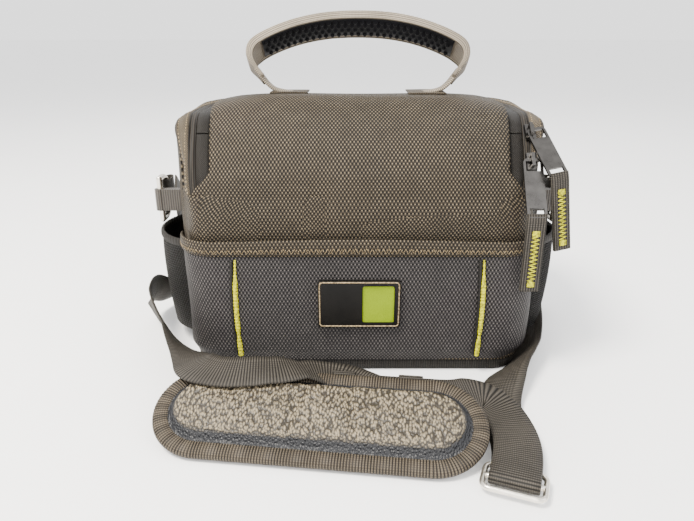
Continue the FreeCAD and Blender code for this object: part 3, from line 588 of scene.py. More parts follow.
def leather(name, dark, light, side):
    """Moulded imitation leather: pores all over and soft hollows; its steep sides are painted shade, bluish
    as a painted sky reflection, darker than its tan top.
    """
    shader = Shader(name, dark, 0.5, specular=0.35)
    slanted = shader.node("ShaderNodeMapping")
    slanted.inputs["Rotation"].default_value = (0, 0, PORE_SLANT)
    slanted.inputs["Scale"].default_value = (1, PORE_STRETCH, 1)
    shader.link(shader.object_place(), slanted.inputs["Vector"])
    pores = shader.node("ShaderNodeTexVoronoi", feature="SMOOTH_F1")
    shader.link(slanted.outputs["Vector"], pores.inputs["Vector"])
    pores.inputs["Scale"].default_value = 1 / (1.3 * MM)
    pores.inputs["Smoothness"].default_value = 0.35
    grain = shader.maths("MULTIPLY_ADD", pores.outputs["Distance"], -1.5, 1.15)
    hollows, fine, patches = shader.noise(8, 3), shader.noise(1.1, 3), shader.noise(34, 4)
    tone = shader.maths("MULTIPLY", grain, shader.maths("MULTIPLY_ADD", fine, 0.9, 0.4))
    tone = shader.maths("MULTIPLY", tone, shader.maths("MULTIPLY_ADD", patches, 0.8, 0.6))
    top = shader.ramp(tone, [(0.2, dark), (0.75, light)])
    # The steep sides take the side colour: painted shade, bluish for a painted sky reflection.
    _, inwards = shader.cloth_place()
    rim = shader.node("ShaderNodeMapRange")
    shader.link(inwards, rim.inputs["Value"])
    rim.inputs["From Min"].default_value = SIDE_RUN + 1.5
    rim.inputs["From Max"].default_value = SIDE_RUN - 1.0
    shader.colour(shader.mix(rim.outputs[0], top, side))
    shader.roughness(patches, 0.34, 0.52)
    height = shader.maths("MULTIPLY_ADD", hollows, 1.4, shader.maths("MULTIPLY_ADD", fine, 0.5, grain))
    shader.bump(height, 0.55)
    return shader.material


def metal(name, colour, rough=(0.18, 0.42)):
    """Plated wire or plate with fine scratches and dull patches."""
    shader = Shader(name, colour, 0.3, metallic=1.0)
    patches = shader.noise(6, 5)
    scratches = shader.noise(0.7, 2)
    shader.colour(shader.ramp(patches, [(0.3, tuple(c * 0.72 for c in colour)), (0.65, colour)]))
    shader.roughness(patches, *rough)
    shader.bump(scratches, 0.03)
    return shader.material


def thread(name, dark, light):
    """Twisted sewing thread or dyed tape."""
    shader = Shader(name, light, 0.55, specular=0.25)
    shader.colour(shader.ramp(shader.noise(1.4, 3), [(0.35, dark), (0.6, light)]))
    shader.bump(shader.noise(0.4, 2), 0.1)
    return shader.material


MATERIALS = {
    # In each dobby cloth the second colour is that of its painted highlights.
    "nylon": dobby("nylon", (0.0125, 0.0095, 0.0064), (0.36, 0.285, 0.18), (0.0006, 0.0005, 0.0004)),
    "pocket": dobby("pocket_nylon", (0.0130, 0.0118, 0.0122), (0.22, 0.195, 0.18), (0.0007, 0.0006, 0.0007)),
    "twill": twill("twill_tape", (0.0070, 0.0056, 0.0040), (0.125, 0.098, 0.064)),
    # The inner tape's colours are painted shade: the tape lies in the shadow under the lid's edge.
    "inner_tape_painted_shade": twill("inner_tape_painted_shade", (0.0020, 0.0017, 0.0014), (0.014, 0.011, 0.008)),
    "lip": ribbed("zip_lip", (0.0025, 0.0020, 0.0017), (0.034, 0.027, 0.019), 1.6, 0.8),
    "grosgrain": ribbed("grosgrain", (0.0055, 0.0043, 0.0032), (0.075, 0.058, 0.040)),
    "binding": ribbed("ribbed_binding", (0.0028, 0.0023, 0.0018), (0.125, 0.100, 0.070), 1.7, 1.3),
    "foot": ribbed("foot_binding", (0.0016, 0.0014, 0.0012), (0.022, 0.019, 0.015), 1.7, 1.3),
    "webbing": ribbed("webbing", (0.0034, 0.0029, 0.0024), (0.080, 0.070, 0.057), 1.6, 1.1),
    "handle": ribbed("handle_webbing", (0.060, 0.050, 0.038), (0.40, 0.34, 0.26), 1.3, 1.0),
    "lining": dobby("lining", (0.10, 0.10, 0.105), (0.17, 0.17, 0.18), (0.06, 0.06, 0.065), 1.4),
    "mesh": thread("mesh_yarn", (0.0015, 0.0015, 0.0015), (0.012, 0.011, 0.010)),
    "knit": dobby(
        "pocket_knit", (0.0040, 0.0038, 0.0036), (0.030, 0.028, 0.025), (0.0006, 0.0006, 0.0006), 1.5,
    ),
    "elastic": ribbed("elastic", (0.0030, 0.0027, 0.0024), (0.028, 0.024, 0.020), 1.1, 0.9),
    "yellow": thread("yellow_thread", (0.16, 0.15, 0.0008), (0.50, 0.48, 0.003)),
    "tan": thread("tan_thread", (0.07, 0.05, 0.026), (0.30, 0.225, 0.125)),
    # The dark thread also serves as painted shadow beside the piping.
    "dark": thread("dark_thread_and_painted_shadow", (0.0015, 0.0013, 0.0012), (0.006, 0.005, 0.004)),
    # The pebbled skin's third colour is painted shade of its steep sides, with a painted bluish sky
    # reflection.
    "pebble": leather("pebbled_skin", (0.022, 0.0175, 0.0115), (0.24, 0.195, 0.125), (0.010, 0.0105, 0.0125)),
    "rubber": grained(
        "grip_rubber", (0.0006, 0.0006, 0.0010), (0.0022, 0.0022, 0.0040), 0.8, 0.08, (0.5, 0.65),
    ),
    "boot": grained("coated_boot", (0.0030, 0.0026, 0.0022), (0.014, 0.012, 0.010), 0.9, 0.12),
    "board": grained("board", (0.03, 0.03, 0.03), (0.07, 0.07, 0.07), 0.9, 0.05),
    "badge": grained(
        "badge_plastic", (0.0022, 0.0020, 0.0019), (0.008, 0.007, 0.006), 0.5, 0.03, (0.3, 0.42),
    ),
    "accent": grained("badge_accent", (0.13, 0.19, 0.0002), (0.20, 0.28, 0.0005), 0.7, 0.02, (0.42, 0.55)),
    "silver": metal("plated_steel", (0.82, 0.77, 0.68)),
    "gunmetal": metal("gunmetal", (0.10, 0.095, 0.09), (0.2, 0.38)),
}

# ---------------------------------------------------------------- the strap: two lengths of webbing
WEBBING, WEBBING_THICK = 25.0, 1.6
PAD_AT, PAD_TURN, PAD_TILT = (-24.0, -139.0, 13.8), -7.0, 18.0
PAD_STRAP_Y = 24.0
PAD_MATRIX = (
    Matrix.Translation(PAD_AT)
    @ Matrix.Rotation(math.radians(PAD_TURN), 4, "Z")
    @ Matrix.Rotation(math.radians(PAD_TILT), 4, "X")
)
UNDER_PAD = -5.4  # the strap's centre, below the pad's own middle
BUCKLE_AT, BUCKLE_TURN = (74.5, -179.5), -21.0
FOLD_LOW, FOLD_HIGH, BUCKLE_BAR_Z = 1.2, 7.6, 4.4


def under_pad(x):
    """A place of the strap below the pad, and the direction of its width."""
    place = PAD_MATRIX @ Vector((x, PAD_STRAP_Y, UNDER_PAD))
    return tuple(place), tuple(PAD_MATRIX.to_3x3() @ Vector((0, 1, 0)))


def on_pad(x, y, z, *across):
    """A place of the strap given in the pad's own frame, and its width's direction."""
    turn = PAD_MATRIX.to_3x3()
    return tuple(PAD_MATRIX @ Vector((x, y, z))), tuple(turn @ Vector(across))


# The left length comes forward beside the bag, lies over the pad's far corner and turns down behind it.
STRAP_LEFT = [
    ((-138, 29, 99.5), (0, 0, 1)),
    ((-139, 38, 94), (0, 0.3, 0.95)),
    ((-140, 46, 80), (0, 0.8, 0.6)),
    ((-140, 53, 62), (0.2, 1, 0)),
    ((-140, 52, 40), (0.1, 0.9, -0.2)),
    ((-142, 42, 22), (-0.1, 0.75, -0.65)),
    ((-147, 27, 15), (-0.6, 0.4, -0.7)),
    ((-153, 10, 25), (-0.5, 0.3, -0.8)),
    ((-152, -8, 33), (-0.25, 0.05, -0.95)),
    ((-147, -26, 31), (0.05, 0.2, -0.97)),
    ((-136, -44, 27), (0.2, 0.3, -0.93)),
    ((-125, -60, 23.5), (0.3, 0.35, -0.88)),
    ((-114, -75, 22), (0.6, 0.45, -0.6)),
    ((-103, -90, 23.5), (0.8, 0.55, -0.15)),
    on_pad(-77, 25, 7, 0.55, 0.85, 0),
    on_pad(-65, 20.5, 8.2, 0.1, 1, -0.12),
    on_pad(-52, 20, 8.4, 0, 1, -0.12),
    on_pad(-39, 22.5, 8, 0.15, 1, -0.12),
    on_pad(-26, 25.5, 7.2, 0.2, 1, -0.25),
    on_pad(-13, 31, 2.5, 0.3, 0.8, -0.55),
    on_pad(1, 34.5, -4, 0.1, 0.9, -0.35),
    on_pad(14, 33, -6, 0, 1, -0.1),
    under_pad(29),
]


def buckle_fold():
    """The webbing's half turn round the buckle's middle bar."""
    turn = Matrix.Rotation(math.radians(BUCKLE_TURN), 3, "Z")
    ahead, across = turn @ Vector((0, -1, 0)), turn @ Vector((1, 0, 0))
    reach = (FOLD_HIGH - FOLD_LOW) / 2
    stations = []
    for step in range(7):
        angle = math.pi * step / 6
        x, y = Vector(BUCKLE_AT) + ahead.xy * (reach * math.sin(angle))
        stations.append(((x, y, BUCKLE_BAR_Z - reach * math.cos(angle)), tuple(across)))
    x, y = Vector(BUCKLE_AT) - ahead.xy * 14
    return stations + [((x, y, FOLD_HIGH), tuple(across))]


STRAP_RIGHT = [
    ((138, 29, 99.5), (0, 0, 1)),
    ((139, 38, 94), (0, 0.3, 0.95)),
    ((140, 46, 80), (0, 0.8, 0.6)),
    ((141, 53, 62), (-0.2, 1, 0.2)),
    ((142, 52, 42), (-0.1, 0.9, 0.1)),
    ((142, 44, 24), (0.3, 0.7, 0.5)),
    ((140, 28, 13), (0.6, 0.3, 0.65)),
    ((133, 8, 9), (0.75, 0, 0.65)),
    ((127.5, -14, 9), (0.75, 0, 0.65)),
    ((120.5, -38, 9), (0.75, 0.1, 0.65)),
    ((112, -61, 9), (0.75, 0.2, 0.6)),
    ((95, -84, 8), (0.85, 0.3, 0.35)),
    ((84, -106, 4), (1, 0.1, 0.1)),
    ((81, -128, 2), (1, 0, 0)),
    ((84, -150, 1.2), (1, 0.1, 0)),
    *buckle_fold(),
    ((83, -152, 7.6), (1, 0.1, 0)),
    ((83, -136, 8), (1, 0, 0)),
    ((79, -122, 9), (0.85, 0.5, 0.1)),
    ((71, -115, 11), (0.4, 1, 0.25)),
    under_pad(76),
    under_pad(56),
    under_pad(30),
]


def spline_points(name, stations):
    """The smooth line that a route's points control, in millimetres, and the width's direction along it."""
    curve = bpy.data.curves.new(name + "_route", "CURVE")
    curve.dimensions = "3D"
    curve.resolution_u = 14
    spline = curve.splines.new("NURBS")
    spline.points.add(len(stations) - 1)
    for point, (place, _) in zip(spline.points, stations):
        point.co = (*(c * MM for c in place), 1)
    spline.order_u = 3
    spline.use_endpoint_u = True
    route = bpy.data.objects.new(name + "_route", curve)
    bpy.context.scene.collection.objects.link(route)
    bpy.context.view_layer.update()
    mesh = bpy.data.meshes.new_from_object(route)
    points = np.array([v.co for v in mesh.vertices]) / MM
    bpy.data.objects.remove(route)
    bpy.data.meshes.remove(mesh)
    last = len(stations) - 2
    knots = [0] + [j - 0.5 for j in range(1, last + 1)] + [last]
    widths = np.array([across for _, across in stations], float)
    for j in range(1, len(widths)):
        if widths[j] @ widths[j - 1] < 0:
            widths[j] *= -1
    at = np.linspace(0, last, len(points))
    across = points_at(at, knots, widths)
    return points, across


def webbing_mesh(name, points, across, wide, thick, material):
    """Flat webbing with rounded edges along a line of points."""
    along = np.gradient(points, axis=0)
    along /= np.linalg.norm(along, axis=1, keepdims=True)
    side = across - along * (across * along).sum(1, keepdims=True)
    side /= np.linalg.norm(side, axis=1, keepdims=True)
    up = np.cross(side, along)
    half, rise = wide / 2, thick / 2
    section = [(-half, 0), (-half + 0.5, rise * 0.8), (-half * 0.6, rise), (0, rise), (half * 0.6, rise)]
    section += [(half - 0.5, rise * 0.8)]
    section += [(-a, -b) for a, b in section]
    section = np.array(section)
    grid = points[:, None] + side[:, None] * section[None, :, :1] + up[:, None] * section[None, :, 1:]
    run = run_along(points)
    width_run = np.concatenate([section[:7, 0] + half, (section[6:, 0] + half), [0]])[: len(section) + 1]
    u, v = np.meshgrid(run, width_run, indexing="ij")
    return cap_ends(grid_mesh(name, grid, material, closed=True, cloth=(u, v)), len(points), len(section))


def make_straps():
    """The two free lengths of the shoulder strap, as webbing along smooth routes."""
    for name, stations, side in (("left", STRAP_LEFT, -1), ("right", STRAP_RIGHT, 1)):
        points, across = spline_points(f"strap_{name}", stations)
        strap = webbing_mesh(
            f"shoulder_strap_{name}", points, across, WEBBING, WEBBING_THICK, MATERIALS["webbing"]
        )
        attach(strap, "bag")
        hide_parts(f"strap_{name}")


make_camera()


# ---------------------------------------------------------------- walls of the bag
def wall_points(offset, clear, columns, rows, top_z, low_z):
    """The bag's surface from low_z up to the lid's outline: columns round the bag, rows up it."""
    turn = np.linspace(0, 2 * math.pi, columns, endpoint=False) - math.pi / 2
    centre = np.array([0.0, 0.0, 92.0])
    tilt = np.linspace(-1.15, 1.45, 150)
    squeeze = np.hypot(np.cos(turn) * 1.35, np.sin(turn) * 0.75)
    flat = np.stack([np.cos(turn) * 1.35 / squeeze, np.sin(turn) * 0.75 / squeeze], -1)
    rays = np.zeros((columns, len(tilt), 3))
    rays[..., :2] = flat[:, None] * np.cos(tilt)[None, :, None]
    rays[..., 2] = np.sin(tilt)
    surface = shoot(centre, rays, offset)
    columns_out = []
    for column in surface:
        height = column[:, 2]
        outside = mouth_distance(column[:, 0], column[:, 1])
        keep = (height > low_z) & ((height < top_z) | (outside > clear))
        first, last = np.argmax(keep), len(keep) - 1 - np.argmax(keep[::-1])
        line = column[first : last + 1]
        if line[-1, 2] > top_z:
            beyond = column[min(last + 1, len(keep) - 1)]
            out = mouth_distance(*line[-1, :2]), mouth_distance(*beyond[:2])
            share = np.clip((out[0] - clear) / max(out[0] - out[1], 1e-6), 0, 1)
            line = np.concatenate([line, [line[-1] * (1 - share) + beyond * share]])
        start = line[0].copy()
        start[2] = low_z
        line = np.concatenate([[start], line])
        run = run_along(line)
        at = np.linspace(0, run[-1], rows)
        columns_out.append(points_at(at, run, line))
    return np.stack(columns_out, 1)


def make_shell():
    """The outer cover of the four walls, and the lining inside."""
    outside = wall_points(
        offset=0.0, clear=19.0, columns=300, rows=70, top_z=HINGE_Z - 2, low_z=7.6
    )
    shell = grid_mesh("wall_cover", outside, MATERIALS["nylon"], closed=True)
    tidy(shell)
    thicken(shell, thick=1.6, offset=1.0)
    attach(shell, "bag")
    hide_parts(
        "front_cover", "back_cover", "left_cover", "right_cover",
        "front_foam", "back_foam", "left_foam", "right_foam",
    )

    inner = wall_points(
        offset=-9.2, clear=4.0, columns=240, rows=50, top_z=HINGE_Z - 3, low_z=9.3
    )
    floor = inner[:1]
    middle = floor.mean(1, keepdims=True)
    rings = [middle + (floor - middle) * share for share in (0.02, 0.3, 0.6, 0.85, 0.97)]
    lining = grid_mesh("wall_lining", np.concatenate(rings + [inner]), MATERIALS["lining"], closed=True)
    tidy(lining)
    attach(lining, "bag")
    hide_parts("lining")

    edge_out = wall_points(
        offset=-1.4, clear=19.5, columns=240, rows=4, top_z=HINGE_Z - 2, low_z=100.0
    )[-1]
    edge_in = inner[-1]
    steps = np.linspace(0, 1, 8)[:, None, None]
    rim = edge_out[None] * (1 - steps) + edge_in[None] * steps
    facing = grid_mesh("mouth_facing", rim, MATERIALS["lining"], closed=True)
    tidy(facing)
    thicken(facing, thick=1.0)
    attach(facing, "bag")


# ---------------------------------------------------------------- lid
LID_PROUD = 3.0
LID_LOW_Z = 88.0  # the lid's fabric runs down behind the pocket's hem


def lid_half(y, z):
    """Half the width of the front fabric: the lid's outline, flaring over the zip's lower ends."""
    flare = smooth_step(HINGE_Z + 12, HINGE_Z - 6, z)
    wide = plan_half(y) - 1.5
    return mouth_half(y) * (1 - flare) + wide * flare


def lid_dents(x, z):
    """Folds and hollows of the front fabric."""
    fold = 2.2 * np.exp(-(((x + 26) / 5) ** 2) - ((z - 104) / 17) ** 2)
    hollow = 2.6 * np.exp(-(((x - 52) / 34) ** 2) - ((z - 97) / 6) ** 2)
    beside = -1.4 * np.exp(-(((x + 12) / 9) ** 2) - ((z - 106) / 20) ** 2)
    corner = 1.6 * np.exp(-(((x + 80) / 12) ** 2) - ((z - 100) / 10) ** 2)
    swell = -1.0 * np.exp(-(((x - 25) / 45) ** 2) - ((z - 138) / 22) ** 2)
    return fold + hollow + beside + corner + swell


def lid_grid(offset, columns, rows, low_z, reach=1.0, shrink=0.3):
    """The lid's surface at an offset: columns across, rows from the front's low edge over to the back."""
    share = np.linspace(-1, 1, columns) * reach
    start = math.acos((low_z - SLOPE[1]) / SLOPE_RADIUS) if low_z > SLOPE[1] else math.pi / 2
    theta = np.linspace(start, -0.32, rows)
    direction = np.stack([np.zeros(rows), -np.sin(theta), np.cos(theta)], -1)
    x = np.zeros((rows, columns))
    p = None
    for _ in range(3):
        origin = np.stack([x, np.full_like(x, SLOPE[0]), np.full_like(x, SLOPE[1])], -1)
        p = shoot(origin, np.broadcast_to(direction[:, None], origin.shape), offset)
        y = np.minimum(p[..., 1], LID_BACK - shrink)
        x = share[None] * (lid_half(y, p[..., 2]) - shrink)
    p[..., 0] = x
    keep = p[:, columns // 2, 1] <= LID_BACK - shrink
    return p[keep]


def make_lid():
    """The lid's padded cover and rolled edge: one cloth with the front panel."""
    top = lid_grid(offset=0.0, columns=150, rows=150, low_z=LID_LOW_Z)
    normal = normal_at(top)
    x, y, z = top[..., 0], top[..., 1], top[..., 2]
    lift = LID_PROUD * smooth_step(HINGE_Z - 6, HINGE_Z + 8, z) + 0.6
    edge = np.linspace(-1, 1, top.shape[1])[None]
    from_side = (1 - np.abs(edge)) * lid_half(y, z)
    from_back = (LID_BACK - y) * np.ones_like(x)
    from_edge = np.where(z > HINGE_Z - 4, np.minimum(from_side, from_back + 1), from_side)
    lift = lift + 1.1 * smooth_step(0, 26, from_edge) - lid_dents(x, z)
    lift = lift - 1.6 * np.exp(-from_edge / 1.6)
    surface = top + normal * lift[..., None]

    rolled = [surface]
    proud = np.maximum(lift - 0.4, 0.4)
    for down, draw in ((0.45, 0.25), (0.8, 0.1), (1.15, 0.5), (1.3, 2.5)):
        ring = top + normal * (lift - proud * down)[..., None]
        centre = np.stack([np.zeros_like(x), np.zeros_like(y), z], -1)
        inward = centre - ring
        inward[..., 2] = 0
        inward /= np.linalg.norm(inward, axis=-1, keepdims=True)
        rolled.append(ring + inward * draw)

    rows, columns = x.shape
    loop = [(i, columns - 1) for i in range(rows)]
    loop += [(rows - 1, j) for j in reversed(range(columns - 1))]
    loop += [(i, 0) for i in reversed(range(rows - 1))]
    picks = [np.array([layer[i, j] for i, j in loop]) for layer in rolled]
    cloth_v = np.repeat(lengths_along(surface, 0)[:, None], columns, 1)
    cover = grid_mesh("lid_top", surface, MATERIALS["nylon"], cloth=(surface[..., 0] + 200, cloth_v))
    strip = grid_mesh("lid_edge", np.stack(picks), MATERIALS["nylon"])
    lid = join("lid_cloth", [cover, strip])
    tidy(lid, merge=0.05)
    lid.data.polygons.foreach_set("use_smooth", [True] * len(lid.data.polygons))
    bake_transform(lid)
    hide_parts("lid_cover")

    inside = lid_grid(offset=-7.0, columns=90, rows=90, low_z=HINGE_Z + 3, reach=0.985, shrink=1.5)
    rim = lid_grid(offset=0.8, columns=90, rows=90, low_z=HINGE_Z + 3, reach=0.995, shrink=0.9)
    liner = grid_mesh("lid_inner", inside, MATERIALS["lining"])
    outer_line = edge_loop(rim)
    inner_line = edge_loop(inside)
    count = 300
    sides = np.stack([resample(outer_line, count), resample(inner_line, count)])
    steps = np.linspace(0, 1, 6)[:, None, None]
    between = sides[0][None] * (1 - steps) + sides[1][None] * steps
    wall = grid_mesh("lid_wall", between, MATERIALS["lining"], closed=True)
    liner = join("lid_liner", [liner, wall])
    tidy(liner, merge=0.05)
    liner.data.polygons.foreach_set("use_smooth", [True] * len(liner.data.polygons))
    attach(liner, "lid")
    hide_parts("lid_foam", "lid_lining")


def edge_loop(grid):
    """The closed edge of a grid of points, in order."""
    return np.concatenate([grid[0, :-1], grid[:-1, -1], grid[-1, :0:-1], grid[:0:-1, 0]])


def resample(line, count):
    """A closed line as count points, evenly spaced from its first point."""
    around = np.concatenate([line, line[:1]])
    run = run_along(around)
    at = np.linspace(0, run[-1], count, endpoint=False)
    return points_at(at, run, around)


# ---------------------------------------------------------------- zip
def zip_strip(name, profile, material, body, slot, *replaced, ends=None):
    """A band beside the lid's edge: profile is (spread, offset) pairs across it."""
    grid = np.stack([zip_surface(spread, offset) for spread, offset in profile], 1)
    if ends is not None:
        grid = grid[ends]
    strip = grid_mesh(name, grid, material)
    strip.data.flip_normals()
    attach(strip, body)
    if replaced:
        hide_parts(*replaced)
    return strip


def stitches(name, spread, offset, pitch, long, material, body):
    """A row of short raised stitches beside the lid's edge."""
    line = zip_surface(spread, offset)
    run = run_along(line)
    pieces = []
    for at in np.arange(2, run[-1] - 2, pitch):
        places = np.linspace(at, at + long, 4)
        points = points_at(places, run, line)
        pieces.append(points)
    return thread_pieces(name, pieces, 0.28, material, body)


def thread_pieces(name, runs, radius, material, body, sides=5):
    """Many short threads as one piece."""
    verts, faces = [], []
    turn = np.arange(sides) * 2 * math.pi / sides
    for points in runs:
        points = np.asarray(points, float)
        along = np.gradient(points, axis=0)
        along /= np.linalg.norm(along, axis=1, keepdims=True)
        side = np.cross(along, [0.13, 0.31, 0.94])
        side /= np.linalg.norm(side, axis=1, keepdims=True)
        up = np.cross(side, along)
        ring = side[:, None] * np.cos(turn)[None, :, None] + up[:, None] * np.sin(turn)[None, :, None]
        taper = np.ones(len(points))
        taper[0] = taper[-1] = 0.45
        first = len(verts)
        verts += (points[:, None] + ring * radius * taper[:, None, None]).reshape(-1, 3).tolist()
        for i in range(len(points) - 1):
            for j in range(sides):
                a, b = first + i * sides + j, first + i * sides + (j + 1) % sides
                faces.append([a, b, b + sides, a + sides])
        last = first + (len(points) - 1) * sides
        faces.append([first + j for j in reversed(range(sides))])
        faces.append([last + j for j in range(sides)])
    mesh = bpy.data.meshes.new(name)
    mesh.from_pydata((np.array(verts) * MM).tolist(), [], faces)
    piece = add_piece(name, mesh, material)
    tidy(piece, merge=0.001)
    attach(piece, body)
    return piece


LID_TAPE_LOW = 152.4  # the lid-side tape moves with the lid above this height


def make_zip():
    """Two twill tapes whose folded lips meet over the hidden coil, and a ribbed tape round the outside."""
    height = WALKS[:, 3, 2]
    moving = np.flatnonzero(height > LID_TAPE_LOW)
    moving = slice(moving[0], moving[-1] + 1)
    # The lid-side tape is nearly black: painted shade for the shadow under the lid's edge.
    lid_profile = [(0.3, -1.6), (2, -1.3), (5, -1.0), (8.2, -0.8), (8.4, -1.4)]
    tape = zip_strip(
        "zip_tape_inner", lid_profile, MATERIALS["inner_tape_painted_shade"], "lid", "tape", "zip_tape_lid", ends=moving
    )
    thicken(tape, thick=0.5)
    for side, part in (("left", slice(0, moving.start)), ("right", slice(moving.stop, len(height)))):
        end = zip_strip(
            f"zip_tape_end_{side}", lid_profile, MATERIALS["inner_tape_painted_shade"], "bag", "tape", ends=part
        )
        thicken(end, thick=0.5)
        if side == "left":
            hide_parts("zip_tape_ends")
    lips = [(8.7, -1.2), (9.2, -0.5), (10.2, 0.15), (11.2, 0.3), (11.9, 0.0), (12.15, -0.9)]
    lips += [(24.6 - s, o) for s, o in reversed(lips)]
    coil = zip_strip("zip_lips", lips, MATERIALS["lip"], "bag", "coil", "zip_coil")
    thicken(coil, thick=0.5)
    seam = zip_surface(12.3, -0.75)
    thread_pieces("zip_seam", [seam], 0.42, MATERIALS["dark"], "bag", 6)
    outer = [(13.4, 0.35), (14.6, 0.9), (16.5, 1.3), (19, 1.35), (20.8, 0.9)]
    tape_out = zip_strip("zip_tape_outer", outer, MATERIALS["twill"], "bag", "tape", "zip_tape_body")
    thicken(tape_out, thick=0.6)
    edge = [(20.2, 0.4), (20.6, 1.5), (21.6, 2.0), (23.2, 2.0), (24.6, 1.5), (25.2, -0.2)]
    border = zip_strip("zip_border", edge, MATERIALS["grosgrain"], "bag", "binding", "grosgrain_edge")
    thicken(border, thick=0.5)
    stitches(
        "zip_stitch_outer", spread=14.9, offset=1.25, pitch=2.3, long=1.3,
        material=MATERIALS["tan"], body="bag",
    )
    stitches(
        "zip_stitch_border", spread=19.6, offset=1.6, pitch=2.6, long=1.6,
        material=MATERIALS["tan"], body="bag",
    )


# ---------------------------------------------------------------- base
def plan_line(out, count):
    """The bag's outline from above, moved outwards, closed and evenly spaced from the front's middle."""
    reach_y = HALF_DEPTH - CORNER
    front_x, back_x = FRONT_HALF - CORNER, BACK_HALF - CORNER
    radius = CORNER + out
    turn = np.linspace(0, math.pi / 2, 24)
    front = [(front_x + radius * math.sin(a), -reach_y - radius * math.cos(a)) for a in turn]
    ys = np.linspace(-reach_y, reach_y, 40)[1:-1]
    side = [(float(plan_half(y)) + out, y) for y in ys]
    back = [(back_x + radius * math.cos(a), reach_y + radius * math.sin(a)) for a in turn]
    right = [(0.0, -HALF_DEPTH - out)] + front + side + back
    left = [(-x, y) for x, y in reversed(right)]
    line = np.array([(x, y, 0.0) for x, y in right + left[:-1]])
    return resample(line, count)


def make_base():
    """The ribbed tape round the foot; the moulded boot and board keep their own shapes."""
    ribs = 560
    around = plan_line(0.0, ribs * 4)
    phase = np.arange(ribs * 4) * 2 * math.pi / 4
    outward = np.roll(around, 1, 0) - np.roll(around, -1, 0)
    outward = np.stack([-outward[:, 1], outward[:, 0], np.zeros(len(outward))], -1)
    outward /= np.linalg.norm(outward, axis=1, keepdims=True)
    rows = []
    for z, out in ((0.9, 0.2), (1.0, 1.0), (1.6, 1.5), (4.0, 1.7), (6.6, 1.6), (7.2, 1.0), (7.3, 0.1)):
        rib = 0.16 * np.cos(phase) * (1 if out > 0.5 else 0)
        row = around + outward * (out + rib)[:, None]
        row[:, 2] = z
        rows.append(row)
    tape = grid_mesh("foot_binding", np.stack(rows), MATERIALS["foot"], closed=True)
    tidy(tape)
    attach(tape, "bag")
    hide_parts("base_binding")


# ---------------------------------------------------------------- front pocket
POCKET_LOW, POCKET_TOP, HEM = 12.0, 93.0, 11.0
POCKET_OUT, POCKET_ENDS = 6.2, -46.0


def pocket_line(out, count):
    """The part of the outline that the front pocket wraps, from left to right."""
    line = plan_line(out, 1400)
    line = line[np.argsort(np.arctan2(line[:, 0], -line[:, 1]))]
    line = line[line[:, 1] < POCKET_ENDS]
    run = run_along(line)
    at = np.linspace(0, run[-1], count)
    return points_at(at, run, line)


def pocket_bulge(x, z):
    """Gentle upright waves of the pocket's cloth, less near its seams."""
    level = np.sin(np.clip((z - POCKET_LOW) / (POCKET_TOP - HEM - POCKET_LOW), 0, 1) * math.pi)
    waves = 0.9 * np.sin(x / 13 + 0.6) + 0.6 * np.sin(x / 7.3 + z / 40) + 0.7
    pull = -0.9 * np.exp(-(((np.abs(x) - 77.5) / 4) ** 2))
    flat = 1 - 0.85 * np.exp(-((x / 34) ** 4))
    return (waves * flat + pull) * level


